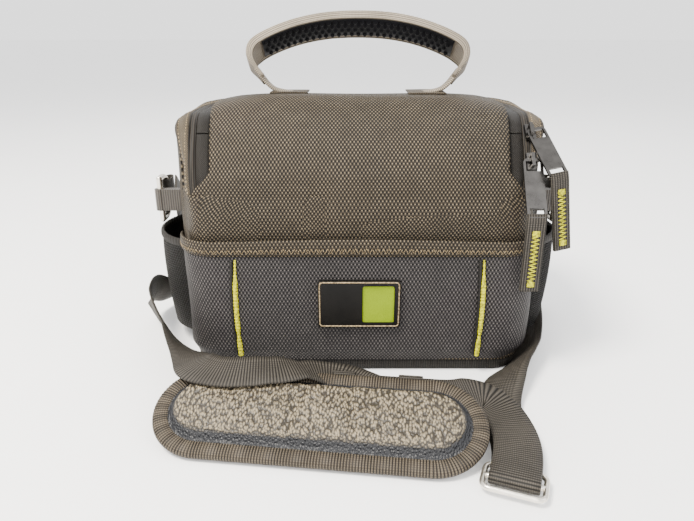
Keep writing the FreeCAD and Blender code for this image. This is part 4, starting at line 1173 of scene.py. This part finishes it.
def make_pocket():
    """The pocket's cloth, its turned hem with zigzag stitches, and the two lines of piping, each with a dark
    cord beside it that is painted shadow of the cloth folding over it.
    """
    count = 220
    line = pocket_line(0.0, count)
    heart = np.concatenate([np.clip(line[:, :1], -88, 88), np.full((count, 1), -45.0), line[:, 2:]], 1)
    outward = line - heart
    outward /= np.linalg.norm(outward, axis=1, keepdims=True)
    heights = np.concatenate([[POCKET_LOW - 4.5, POCKET_LOW - 3.5, POCKET_LOW], np.linspace(14, 82.5, 46)])
    rows = []
    for z in heights:
        tuck = 4.8 * smooth_step(POCKET_LOW + 6, POCKET_LOW - 4.5, z)
        ends = np.minimum(np.arange(count), np.arange(count)[::-1]) / 6.0
        close = 5.6 * (1 - smooth_step(0, 1, ends))
        out = POCKET_OUT - tuck - close + pocket_bulge(line[:, 0], z)
        row = line + outward * np.maximum(out, 0.5)[:, None]
        row[:, 2] = z
        rows.append(row)
    grid = np.stack(rows)
    u = np.repeat(lengths_along(grid, 1)[None], len(heights), 0)
    v = np.repeat(lengths_along(grid, 0)[:, None], count, 1)
    panel = grid_mesh("pocket_cloth", grid, MATERIALS["pocket"], cloth=(u, v))
    thicken(panel, thick=1.2, offset=-1.0)
    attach(panel, "bag")
    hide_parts("pocket_panel")

    sway = 1.0 * np.cos(line[:, 0] / 38) - 0.6
    rows = []
    section = [(82.2, 0.2), (82.4, 0.9), (84, 1.3), (88, 1.35)]
    section += [(91.4, 1.2), (92.6, 0.7), (92.9, 0.0), (92.4, -0.8)]
    for z, out in section:
        row = line + outward * (POCKET_OUT + out)
        row[:, 2] = z + sway * smooth_step(82, 90, z)
        rows.append(row)
    hem_grid = np.stack(rows)
    hem = grid_mesh("pocket_hem_band", hem_grid, MATERIALS["nylon"])
    thicken(hem, thick=0.9, offset=-1.0)
    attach(hem, "bag")
    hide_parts("pocket_hem")

    zigzag = []
    low_line, high_line = hem_grid[2], hem_grid[3]
    run = run_along(low_line)
    points = []
    for i, at in enumerate(np.arange(1, run[-1] - 1, 1.7)):
        share = 0.1 if i % 2 else 0.9
        low = points_at(at, run, low_line)
        high = points_at(at, run, high_line)
        push = points_at(at, run, outward)
        points.append(low * (1 - share) + high * share + push * 0.12)
    for i in range(len(points) - 1):
        zigzag.append([points[i], (points[i] + points[i + 1]) / 2, points[i + 1]])
    thread_pieces("hem_stitching", zigzag, 0.17, MATERIALS["tan"], "bag", 4)

    for name, side in (("left", -1), ("right", 1)):
        low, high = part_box(f"piping_{name}")
        count = 120
        heights = np.linspace(low.z / MM, high.z / MM, count)
        drop = np.linspace(1, 0, count)
        x = side * 77.5 + side * 1.2 * np.sin(drop * math.pi) - side * 0.8
        y = np.full(count, -HALF_DEPTH - POCKET_OUT - 0.6)
        beads = 0.65 + 0.95 * smooth_step(0.08, 0.3, drop) - 0.55 * np.exp(-(((drop - 0.78) / 0.05) ** 2))
        beads = beads + 0.16 * np.cos(np.arange(count) * math.pi / 2)
        cord = tube(f"piping_cord_{name}", np.stack([x, y, heights], -1), 1.35, MATERIALS["yellow"], sides=10)
        shape_ribs(cord, beads, 10)
        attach(cord, "bag")
        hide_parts(f"piping_{name}")
        # A dark cord beside each piping is painted shadow, where the cloth folds over the piping.
        shadow_line = np.stack([x - 2.3, y + 0.1, heights], -1)
        thread_pieces(f"piping_painted_shadow_{name}", [shadow_line], 1.0, MATERIALS["dark"], "bag", 8)


PIPING_RADIUS = 1.35


def shape_ribs(piece, radii, sides):
    """Gives each ring of the piping's tube its own radius."""
    verts = piece.data.vertices
    for i, radius in enumerate(radii):
        ring = [verts[i * sides + j] for j in range(sides)]
        centre = sum((v.co for v in ring), Vector()) / sides
        for v in ring:
            v.co = centre + (v.co - centre) * (radius / PIPING_RADIUS)


# ---------------------------------------------------------------- side pockets
MESH_HALF, MESH_BULGE, MESH_TOP, MESH_LOW = 44.0, 18.5, 82.5, 12.0


def cup_line(out, count):
    """The side pocket's bowed line on the bag's right."""
    start, end = (FRONT_HALF - 8, -MESH_HALF + 2), (BACK_HALF - 8, MESH_HALF - 2)
    centre, radius = circle_through(start, (SIDE_HALF + out, -9), end)
    angles = [math.atan2(p[1] - centre[1], p[0] - centre[0]) for p in (start, end)]
    turn = np.linspace(*angles, count)
    line = np.stack([centre[0] + radius * np.cos(turn), centre[1] + radius * np.sin(turn)], -1)
    floor = plan_half(line[:, 1]) + 0.8
    line[:, 0] = np.maximum(line[:, 0], floor)
    return line


def make_mesh_pockets():
    """Stretched mesh as real yarns in a lattice over a knit backing, with a gathered elastic hem."""
    columns, rows = 52, 38
    for side, name in ((1, "right"), (-1, "left")):
        grid = np.zeros((rows, columns, 3))
        for i in range(rows):
            share = i / (rows - 1)
            z = MESH_LOW + 1 + share * (MESH_TOP - 6 - MESH_LOW)
            out = MESH_BULGE - 0.6 - 5 * (1 - share) ** 2 - 1.2 * share**3
            line = cup_line(out, columns)
            grid[i, :, :2] = line
            grid[i, :, 2] = z + 0.8 * np.sin(np.arange(columns) / 5)
        shift = np.zeros_like(grid)
        shift[1::2, :-1] = (grid[1::2, 1:] - grid[1::2, :-1]) * 0.5
        grid += shift
        grid[..., 0] *= side
        backing = grid - np.array([side * 0.8, 0, 0])
        knit = grid_mesh(f"mesh_knit_{name}", backing, MATERIALS["knit"])
        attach(knit, "bag")
        verts = grid.reshape(-1, 3)
        edges = set()
        for i in range(rows - 1):
            for j in range(columns):
                edges.add((i * columns + j, (i + 1) * columns + j))
                k = j + 1 if i % 2 else j - 1
                if 0 <= k < columns:
                    edges.add((i * columns + j, (i + 1) * columns + k))
        runs = []
        for a, b in sorted(edges):
            p, q = verts[a], verts[b]
            runs.append([p, (p + q) / 2 + np.array([side * 0.15, 0, 0]), q])
        net = thread_pieces(f"mesh_net_{name}", runs, 0.42, MATERIALS["mesh"], "bag", 4)
        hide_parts(f"mesh_pocket_{name}")
        section = [(0.2, 0.0), (0.7, 0.4), (1.3, 2.0), (1.2, 4.2)]
        section += [(0.6, 5.6), (-0.6, 5.7), (-1.3, 4), (-1.2, 1.5)]
        lines = []
        for out, up in section:
            line = cup_line(MESH_BULGE - 1.8 + out, 160)
            gather = 0.25 * np.cos(np.arange(160) * math.pi / 2)
            x = (line[:, 0] + gather) * side
            lines.append(np.stack([x, line[:, 1], np.full(160, MESH_TOP - 6 + up)], -1))
        lines.append(lines[0])
        hem = grid_mesh(f"mesh_elastic_{name}", np.stack(lines), MATERIALS["elastic"])
        tidy(hem)
        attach(hem, "bag")
        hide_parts(f"mesh_hem_{name}")


# ---------------------------------------------------------------- rings and strap ends
def make_loops():
    """The strap's sewn end loop round each ring's bow."""
    for name in ("left", "right"):
        low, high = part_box(f"strap_loop_{name}")
        middle = (low + high) / 2 / MM
        half_y, half_x = (high.y - low.y) / 2 / MM - 0.8, (high.x - low.x) / 2 / MM - 0.9
        turn = np.linspace(0, 2 * math.pi, 48, endpoint=False)
        shape = squared_off(np.cos(turn), 0.7)
        path = np.stack([
            middle.x + half_x * np.sin(turn),
            middle.y + half_y * shape,
            np.full(48, middle.z),
        ], -1)
        rows = []
        outward = path - np.array([middle.x, middle.y, middle.z])
        outward /= np.linalg.norm(outward, axis=1, keepdims=True)
        half = (high.z - low.z) / 2 / MM
        edge = half - 0.4
        for up, out in ((-half, 0), (-edge, 0.7), (edge, 0.7), (half, 0), (edge, -0.7), (-edge, -0.7)):
            row = path + outward * out
            row[:, 2] += up
            rows.append(row)
        rows.append(rows[0])
        grid = np.stack(rows)
        run = np.arange(49) * 1.35
        u, v = np.meshgrid(run, [0, 0.8, 22, 23, 24, 46, 47])
        loop = grid_mesh(f"strap_end_{name}", grid, MATERIALS["webbing"], closed=True, cloth=(u, v))
        tidy(loop)
        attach(loop, f"ring_{name}")
        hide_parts(f"strap_loop_{name}")


# ---------------------------------------------------------------- handle
HANDLE_Y, HANDLE_PIVOT, HANDLE_LEAN = 24.0, 184.0, 33.0
HANDLE_ROUTE = [(-66, -4), (-71, 2), (-76, 9), (-74, 18), (-60, 27), (-40, 35), (-16, 39.5)]


def handle_place(points):
    """From the handle's own plane (x, width, height) to the bag."""
    lean = math.radians(HANDLE_LEAN)
    x, w, h = points[..., 0], points[..., 1], points[..., 2]
    y = HANDLE_Y + w * math.cos(lean) + h * math.sin(lean)
    z = HANDLE_PIVOT - w * math.sin(lean) + h * math.cos(lean)
    return np.stack([x, y, z], -1)


def handle_line(count=121):
    """The arch in its own plane, from the left foot over to the right foot."""
    stations = [((x, 0, h), (0, 1, 0)) for x, h in HANDLE_ROUTE]
    stations += [((-x, 0, h), (0, 1, 0)) for x, h in reversed(HANDLE_ROUTE)]
    points, _ = spline_points("handle", stations)
    run = run_along(points)
    at = np.linspace(0, run[-1], count)
    line = points_at(at, run, points)
    along = np.gradient(line, axis=0)
    along /= np.linalg.norm(along, axis=1, keepdims=True)
    outward = np.stack([-along[:, 2], np.zeros(count), along[:, 0]], -1)
    return line, outward


def make_handle():
    """A moulded carry handle: a webbing back with thick rims and a dark grip below it."""
    line, outward = handle_line()
    count = len(line)
    ends = np.minimum(np.arange(count), np.arange(count)[::-1])
    full = smooth_step(2, 16, ends)
    half = 6.5 + 6 * full
    thick = 1.2 + 2.2 * full
    section = [(-1, -0.6), (-1.02, 0.2), (-0.96, 0.85), (-0.8, 1.0), (0, 1.05), (0.8, 1.0), (0.96, 0.85)]
    section += [(1.02, 0.2), (1, -0.6), (0.93, -1.0), (0.82, -0.6), (0, -0.5), (-0.82, -0.6), (-0.93, -1.0)]
    sideways = np.array([0, 1.0, 0])
    grid = np.stack([
        line + outward * (thick * up)[:, None] + sideways * (half * w)[:, None] for w, up in section
    ], 1)
    band = grid_mesh("handle_arch", handle_place(grid), MATERIALS["handle"], closed=True)
    cap_ends(band, count, len(section))
    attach(band, "handle")
    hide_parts("handle_band")

    low, high = 18, count - 18
    part, out = line[low:high], outward[low:high]
    under = [(-9.8, -1.6), (-9.2, -2.9), (-4, -3.3), (0, -3.35), (4, -3.3), (9.2, -2.9), (9.8, -1.6)]
    pad = np.stack([part + out * up + np.array([0, w, 0]) for w, up in under], 1)
    grip = grid_mesh("handle_grip", handle_place(pad), MATERIALS["rubber"])
    grip.data.flip_normals()
    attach(grip, "handle")
    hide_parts("handle_pad")
    make_nubs(part, out)


def make_nubs(line, outward):
    """Four rows of round rubber nubs under the grip."""
    run = run_along(line)
    work = bmesh.new()
    for row, w in enumerate((-7.2, -2.4, 2.4, 7.2)):
        for at in np.arange(3 + 2.4 * (row % 2), run[-1] - 3, 4.8):
            centre = points_at(at, run, line)
            push = points_at(at, run, outward)
            place = handle_place((centre + push * -3.2 + np.array([0, w, 0]))[None])[0]
            made = bmesh.ops.create_uvsphere(work, u_segments=10, v_segments=6, radius=1.55 * MM)
            bmesh.ops.translate(work, verts=made["verts"], vec=Vector(place) * MM)
    mesh = bpy.data.meshes.new("handle_nubs")
    work.to_mesh(mesh)
    work.free()
    nubs = add_piece("handle_nubs", mesh, MATERIALS["rubber"])
    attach(nubs, "handle")


def make_handle_feet():
    """Webbing from the arch's ends down to the lid, sewn under square patches."""
    for name, side in (("left", -1), ("right", 1)):
        stations = [
            ((side * 71, 25, 187.5), (0, 1, 0)),
            ((side * 67.5, 24.5, 183), (0, 1, 0)),
            ((side * 63, 24, 177), (0, 1, 0)),
            ((side * 57, 24, 172.8), (0, 1, 0)),
            ((side * 46, 24, 171.8), (0, 1, 0)),
        ]
        points, across = spline_points(f"handle_foot_{name}", stations)
        foot = webbing_mesh(f"handle_foot_{name}", points, across, 13.5, 2.2, MATERIALS["handle"])
        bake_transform(foot)
        if side < 0:
            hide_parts("handle_feet")
    for name, side in (("left", -1), ("right", 1)):
        xs, ys = np.linspace(35, 61, 14) * side, np.linspace(11, 37, 14)
        gx, gy = np.meshgrid(xs, ys)
        start = np.stack([gx, gy, np.full_like(gx, 90.0)], -1)
        top = shoot(start, np.broadcast_to([0.0, 0.0, 1.0], start.shape), 4.6 + 0.8, 110.0)
        patch = grid_mesh(f"handle_patch_{name}", top, MATERIALS["twill"])
        if side < 0:
            patch.data.flip_normals()
        thicken(patch, thick=0.8)
        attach(patch, "lid")
        if side < 0:
            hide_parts("handle_patches")


# ---------------------------------------------------------------- pull tabs
def tab_frame(name):
    """The folded tab's own axes, from the CAD tab's vertices: middle, width, thickness and length."""
    co = np.array([v.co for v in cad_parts[name].data.vertices]) / MM
    centre = (co.max(0) + co.min(0)) / 2
    top, bottom = co[co[:, 2] > co[:, 2].max() - 3].mean(0), co[co[:, 2] < co[:, 2].min() + 3].mean(0)
    down = (bottom - top) / np.linalg.norm(bottom - top)
    spread = co - centre
    spread -= np.outer(spread @ down, down)
    _, _, axes = np.linalg.svd(spread, full_matrices=False)
    wide = axes[0] * np.sign(axes[0][0])
    front = np.cross(down, wide)
    front *= -np.sign(front[1]) if abs(front[1]) > 1e-6 else 1
    return centre, wide, front, down, (spread @ wide), ((co - centre) @ down)


def make_tabs():
    """Folded ribbed webbing on each pull, with a yellow zigzag bartack."""
    for name in ("front", "rear"):
        node = f"pull_tab_{name}"
        centre, wide, front, down, across, along = tab_frame(node)
        half, start, end = across.max() - 0.2, along.min() + 2.0, along.max()
        count = 160
        s = np.linspace(start, end - 0.3, count)
        rib = 0.16 * np.cos(np.arange(count) * math.pi / 2)
        thick = 1.45 * np.minimum(1, np.sqrt(np.clip((s - start) / 4, 0.12, 1)))
        section = [(-1, 0), (-0.96, 0.8), (-0.6, 1), (0, 1), (0.6, 1), (0.96, 0.8)]
        section += [(-a, -b) for a, b in section]
        grid = []
        for w, t in section:
            point = centre + np.outer(s, down) + wide * (half * w) + np.outer((thick + rib) * t, front)
            grid.append(point)
        body = grid_mesh(f"tab_webbing_{name}", np.stack(grid, 1), MATERIALS["webbing"], closed=True)
        cap_ends(body, count, len(section))
        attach(body, f"tab_{name}")
        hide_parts(node)
        runs = []
        span = end - start
        first, last = start + 0.24 * span, start + 0.92 * span
        steps = np.arange(first, last, 1.25)
        for i in range(len(steps) - 1):
            reach = 2.4
            a = centre + down * steps[i] + wide * (reach if i % 2 else -reach) + front * 1.75
            b = centre + down * steps[i + 1] + wide * (-reach if i % 2 else reach) + front * 1.75
            runs.append([a, (a + b) / 2 + front * 0.2, b])
        for block in (first, last - 1):
            for k in range(7):
                at = centre + down * (block + k * 0.45 - 1.5) + front * 1.8
                runs.append([at - wide * 2.2, at + front * 0.2, at + wide * 2.2])
        thread_pieces(f"bartack_{name}", runs, 0.42, MATERIALS["yellow"], f"tab_{name}", 5)


# ---------------------------------------------------------------- shoulder pad
PAD_HALF, PAD_RADIUS = 93.0, 31.0
WRINKLES = ((-12.0, 0.20, 1.1), (19.0, -0.18, 1.3), (34.0, -0.3, 0.5), (-40.0, 0.35, 0.35))


def stadium(inset, count):
    """The pad's outline drawn in by inset, evenly spaced, in its own plane."""
    radius = max(PAD_RADIUS - inset, 0.0)
    straight = PAD_HALF - PAD_RADIUS
    turn = np.linspace(-math.pi / 2, math.pi / 2, 60)
    base = PAD_RADIUS - 12.0
    right = np.stack([straight + base * np.cos(turn), base * np.sin(turn)], -1)
    left = -right
    line = np.concatenate([right, left])
    flat = resample(np.concatenate([line, np.zeros((len(line), 1))], 1), count)
    core = np.stack([np.clip(flat[:, 0], -straight, straight), np.zeros(count), np.zeros(count)], -1)
    return core + (flat - core) * (radius / base)


def pad_place(points):
    matrix = np.array(PAD_MATRIX)
    return points @ matrix[:3, :3].T + matrix[:3, 3]


def pillow_height(x, y, inset):
    """The moulded pillow: a small ledge, a steep side and a crowned top with cross wrinkles."""
    rise = smooth_step(9.0, 15.5, inset)
    crown = 0.9 * np.clip((inset - 12) / 19, 0, 1)
    height = 0.8 + 5.9 * rise + crown
    for at, slant, depth in WRINKLES:
        gap = x - at - slant * y
        dip = np.exp(-((gap / 2.2) ** 2))
        ridge = np.exp(-(((gap - 4.5) / 3) ** 2))
        height = height - depth * rise * dip + 0.45 * depth * rise * ridge
    return height + rise * (0.3 * np.sin(x / 11) * np.cos(y / 9) + 0.2 * np.sin(x / 5 + y / 6))


def make_pad():
    """A foam pad with a ribbed binding rolled round its rim."""
    count = 360
    rings = []
    for inset in (8.6, 9.4, 10.4, 11.4, 12.4, 13.4, 14.6, 16, 18, 20, 22, 24, 26, 28, 29.5, 31):
        ring = stadium(inset, count)
        ring[:, 2] = pillow_height(ring[:, 0], ring[:, 1], inset)
        rings.append(ring)
    pillow = grid_mesh("shoulder_pillow", pad_place(np.stack(rings)), MATERIALS["pebble"], closed=True)
    tidy(pillow, merge=0.05)
    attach(pillow, "shoulder_pad")
    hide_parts("pad_cover", "pad_foam")

    ribs = 262
    phase = np.arange(ribs * 4) * math.pi / 2
    rows = []
    profile = [(6.5, -3.8), (2.2, -3.6), (0.6, -2.8), (0.1, -1.2), (0.5, 0.3)]
    profile += [(2.2, 1.35), (5.2, 1.6), (8.0, 1.3), (9.4, 0.5)]
    for inset, height in profile:
        ring = stadium(inset, ribs * 4)
        ring[:, 2] = height + (0.22 * np.cos(phase) if height > 0 else 0)
        rows.append(ring)
    binding = grid_mesh("pad_edge_binding", pad_place(np.stack(rows)), MATERIALS["binding"], closed=True)
    tidy(binding)
    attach(binding, "shoulder_pad")
    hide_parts("pad_binding")

    rings = []
    for inset, height in ((31, -3.9), (22, -3.9), (12, -3.9), (6, -3.9), (2.4, -3.8)):
        ring = stadium(inset, count)
        ring[:, 2] = height
        rings.append(ring)
    back = grid_mesh("pad_underside", pad_place(np.stack(rings)), MATERIALS["boot"], closed=True)
    tidy(back, merge=0.05)
    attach(back, "shoulder_pad")
    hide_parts("pad_backing")
    make_keepers()


def make_keepers():
    """Two webbing loops under the pad that the strap runs through."""
    keepers = []
    for x in (10.0, 50.0):
        turn = np.linspace(0, 2 * math.pi, 40, endpoint=False)
        y = PAD_STRAP_Y + 13.4 * squared_off(np.cos(turn), 0.4)
        z = -6.0 + 1.75 * squared_off(np.sin(turn), 0.4)
        rows = []
        for along, out in ((-7, 0), (-6.6, 0.3), (6.6, 0.3), (7, 0)):
            rows.append(np.stack([np.full(40, x + along), y, z + out * np.sign(np.sin(turn))], -1))
        loop = grid_mesh("keeper", pad_place(np.stack(rows)), MATERIALS["webbing"], closed=True)
        keepers.append(loop)
    joined = join("strap_keepers", keepers)
    tidy(joined)
    thicken(joined, thick=0.6)
    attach(joined, "shoulder_pad")
    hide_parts("pad_keepers")


# ---------------------------------------------------------------- buckle
def make_buckle():
    """A welded wire slide: a rounded rectangle with a middle bar."""
    wide, long, wire, corner = 33.0, 21.0, 1.45, 4.0
    half_x, half_y = wide / 2 - wire, long / 2 - wire
    turn = np.linspace(0, math.pi / 2, 8)
    quarter = np.stack([half_x - corner + corner * np.cos(turn), half_y - corner + corner * np.sin(turn)], -1)
    loop = np.concatenate([
        quarter, quarter[::-1] * [-1, 1], quarter * [-1, -1], quarter[::-1] * [1, -1],
    ])
    turned = math.radians(BUCKLE_TURN)
    spin = np.array([[math.cos(turned), -math.sin(turned)], [math.sin(turned), math.cos(turned)]])

    def place(points):
        flat = points @ spin.T + np.array(BUCKLE_AT)
        return np.concatenate([flat, np.full((len(flat), 1), BUCKLE_BAR_Z)], 1)

    flat_loop = resample(np.concatenate([loop, np.zeros((len(loop), 1))], 1), 120)[:, :2]
    ring = tube("buckle_ring", place(flat_loop), wire, MATERIALS["silver"], closed=True, sides=12)
    bar_points = place(np.stack([np.linspace(-half_x, half_x, 12), np.zeros(12)], -1))
    bar = tube("buckle_bar", bar_points, wire, MATERIALS["silver"], sides=12)
    buckle = join("wire_buckle", [ring, bar])
    buckle.data.polygons.foreach_set("use_smooth", [True] * len(buckle.data.polygons))
    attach(buckle, "bag")
    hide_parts("slide_buckle")


# ---------------------------------------------------------------- divider
DIVIDER_EASE = 2.5  # slack between the divider's ends and the lining


def make_divider():
    """The padded divider that stands in the compartment: a soft slab with rounded, seamed edges."""
    low, high = (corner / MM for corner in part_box("divider"))
    centre, half = (low + high) / 2, (high - low) / 2
    half.y -= DIVIDER_EASE
    turn = np.linspace(0, 2 * math.pi, 96, endpoint=False)
    outline_yz = np.stack([
        squared_off(np.cos(turn), 0.16) * half.y,
        squared_off(np.sin(turn), 0.16) * half.z,
    ], -1)
    rows = []
    one_face = [(1, 0), (1, 0.5), (1, 0.9), (0.75, 0.97), (0.2, 1)]
    for x, share in [(-x, share) for x, share in one_face] + one_face[::-1]:
        swell = 1 - 0.12 * share
        ring = np.stack([
            np.full(96, centre.x + x * half.x * swell),
            centre.y + outline_yz[:, 0] * share,
            centre.z + outline_yz[:, 1] * share,
        ], -1)
        rows.append(ring)
    slab = grid_mesh("padded_divider", np.stack(rows), MATERIALS["lining"], closed=True)
    tidy(slab, merge=0.05)
    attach(slab, "divider")
    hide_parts("divider")


# ---------------------------------------------------------------- carried-over CAD parts
CAD_FINISHES = {
    "base_boot": "boot",
    "base_board": "board",
    "badge": "badge",
    "badge_accent": "accent",
    "ring_tab_left": "strap_tab",
    "ring_tab_right": "strap_tab",
    "d_ring_left": "silver",
    "d_ring_right": "silver",
    "slider_front": "gunmetal",
    "slider_rear": "gunmetal",
    "pull_plate_front": "gunmetal",
    "pull_plate_rear": "gunmetal",
}
BEVELLED = {
    "badge": 0.5,
    "badge_accent": 0.4,
    "pull_plate_front": 0.3,
    "pull_plate_rear": 0.3,
    "slider_front": 0.5,
    "slider_rear": 0.5,
}


def object_ribs(name, dark, light, pitch):
    """Ribbed webbing for a CAD part, which has no cloth coordinates: ribs along X."""
    shader = Shader(name, dark, 0.6, sheen=0.12)
    parts = shader.node("ShaderNodeSeparateXYZ")
    shader.link(shader.object_place(), parts.inputs[0])
    rib = shader.wave(parts.outputs[0], pitch * MM)
    cross = shader.wave(parts.outputs[2], 1.1 * MM)
    both = shader.maths("MULTIPLY", rib, shader.maths("MULTIPLY_ADD", cross, 0.4, 0.6))
    patchy = shader.maths("MULTIPLY", both, shader.maths("ADD", shader.noise(12), 0.3))
    shader.colour(shader.mix(patchy, dark, light))
    shader.bump(both, 0.3)
    return shader.material


def finish_cad_parts():
    MATERIALS["strap_tab"] = object_ribs("tab_webbing", (0.009, 0.0075, 0.006), (0.075, 0.060, 0.044), 1.6)
    for node, finish in CAD_FINISHES.items():
        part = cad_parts[node]
        part.data.materials.clear()
        part.data.materials.append(MATERIALS[finish])
        if node in BEVELLED:
            bevel = part.modifiers.new("bevel", "BEVEL")
            bevel.width = BEVELLED[node] * MM
            bevel.segments = 3
            bevel.limit_method = "ANGLE"


def make_badge_border():
    """A thin raised border round the badge and a plain raised frame round its coloured square."""
    borders = (
        ("badge_border", "badge", "tan", 1.1, 0.45),
        ("accent_border", "badge_accent", "badge", -0.2, 0.3),
    )
    for name, node, finish, out, radius in borders:
        low, high = (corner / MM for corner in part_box(node))
        half_x, half_z = (high.x - low.x) / 2 - out, (high.z - low.z) / 2 - out
        middle = (low + high) / 2
        turn = np.linspace(0, math.pi / 2, 6)
        quarter = np.stack([half_x - 1.5 + 1.5 * np.cos(turn), half_z - 1.5 + 1.5 * np.sin(turn)], -1)
        loop = np.concatenate([quarter, quarter[::-1] * [-1, 1], quarter * [-1, -1], quarter[::-1] * [1, -1]])
        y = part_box("badge")[0].y / MM - 0.05
        points = np.stack([middle.x + loop[:, 0], np.full(len(loop), y), middle.z + loop[:, 1]], -1)
        border = tube(name, resample(points, 90), radius, MATERIALS[finish], closed=True, sides=6)
        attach(border, "bag")


# ---------------------------------------------------------------- floor
def make_floor():
    mesh = bpy.data.meshes.new("floor")
    size = 40.0
    corners = [(-size, -size, 0), (size, -size, 0), (size, size, 0), (-size, size, 0)]
    mesh.from_pydata(corners, [], [(0, 1, 2, 3)])
    shader = Shader("floor", (0.94, 0.94, 0.94), 0.75, specular=0.2)
    duller, lighter = (0.935, 0.935, 0.935), (0.945, 0.945, 0.945)
    shader.colour(shader.ramp(shader.noise(60, 2), [(0.3, duller), (0.7, lighter)]))
    floor = add_piece("floor", mesh, shader.material)


make_light()
make_floor()
make_shell()
make_lid()
make_zip()
make_base()
make_pocket()
make_mesh_pockets()
make_loops()
make_handle()
make_handle_feet()
make_tabs()
make_pad()
make_buckle()
make_straps()
make_divider()
make_badge_border()
finish_cad_parts()
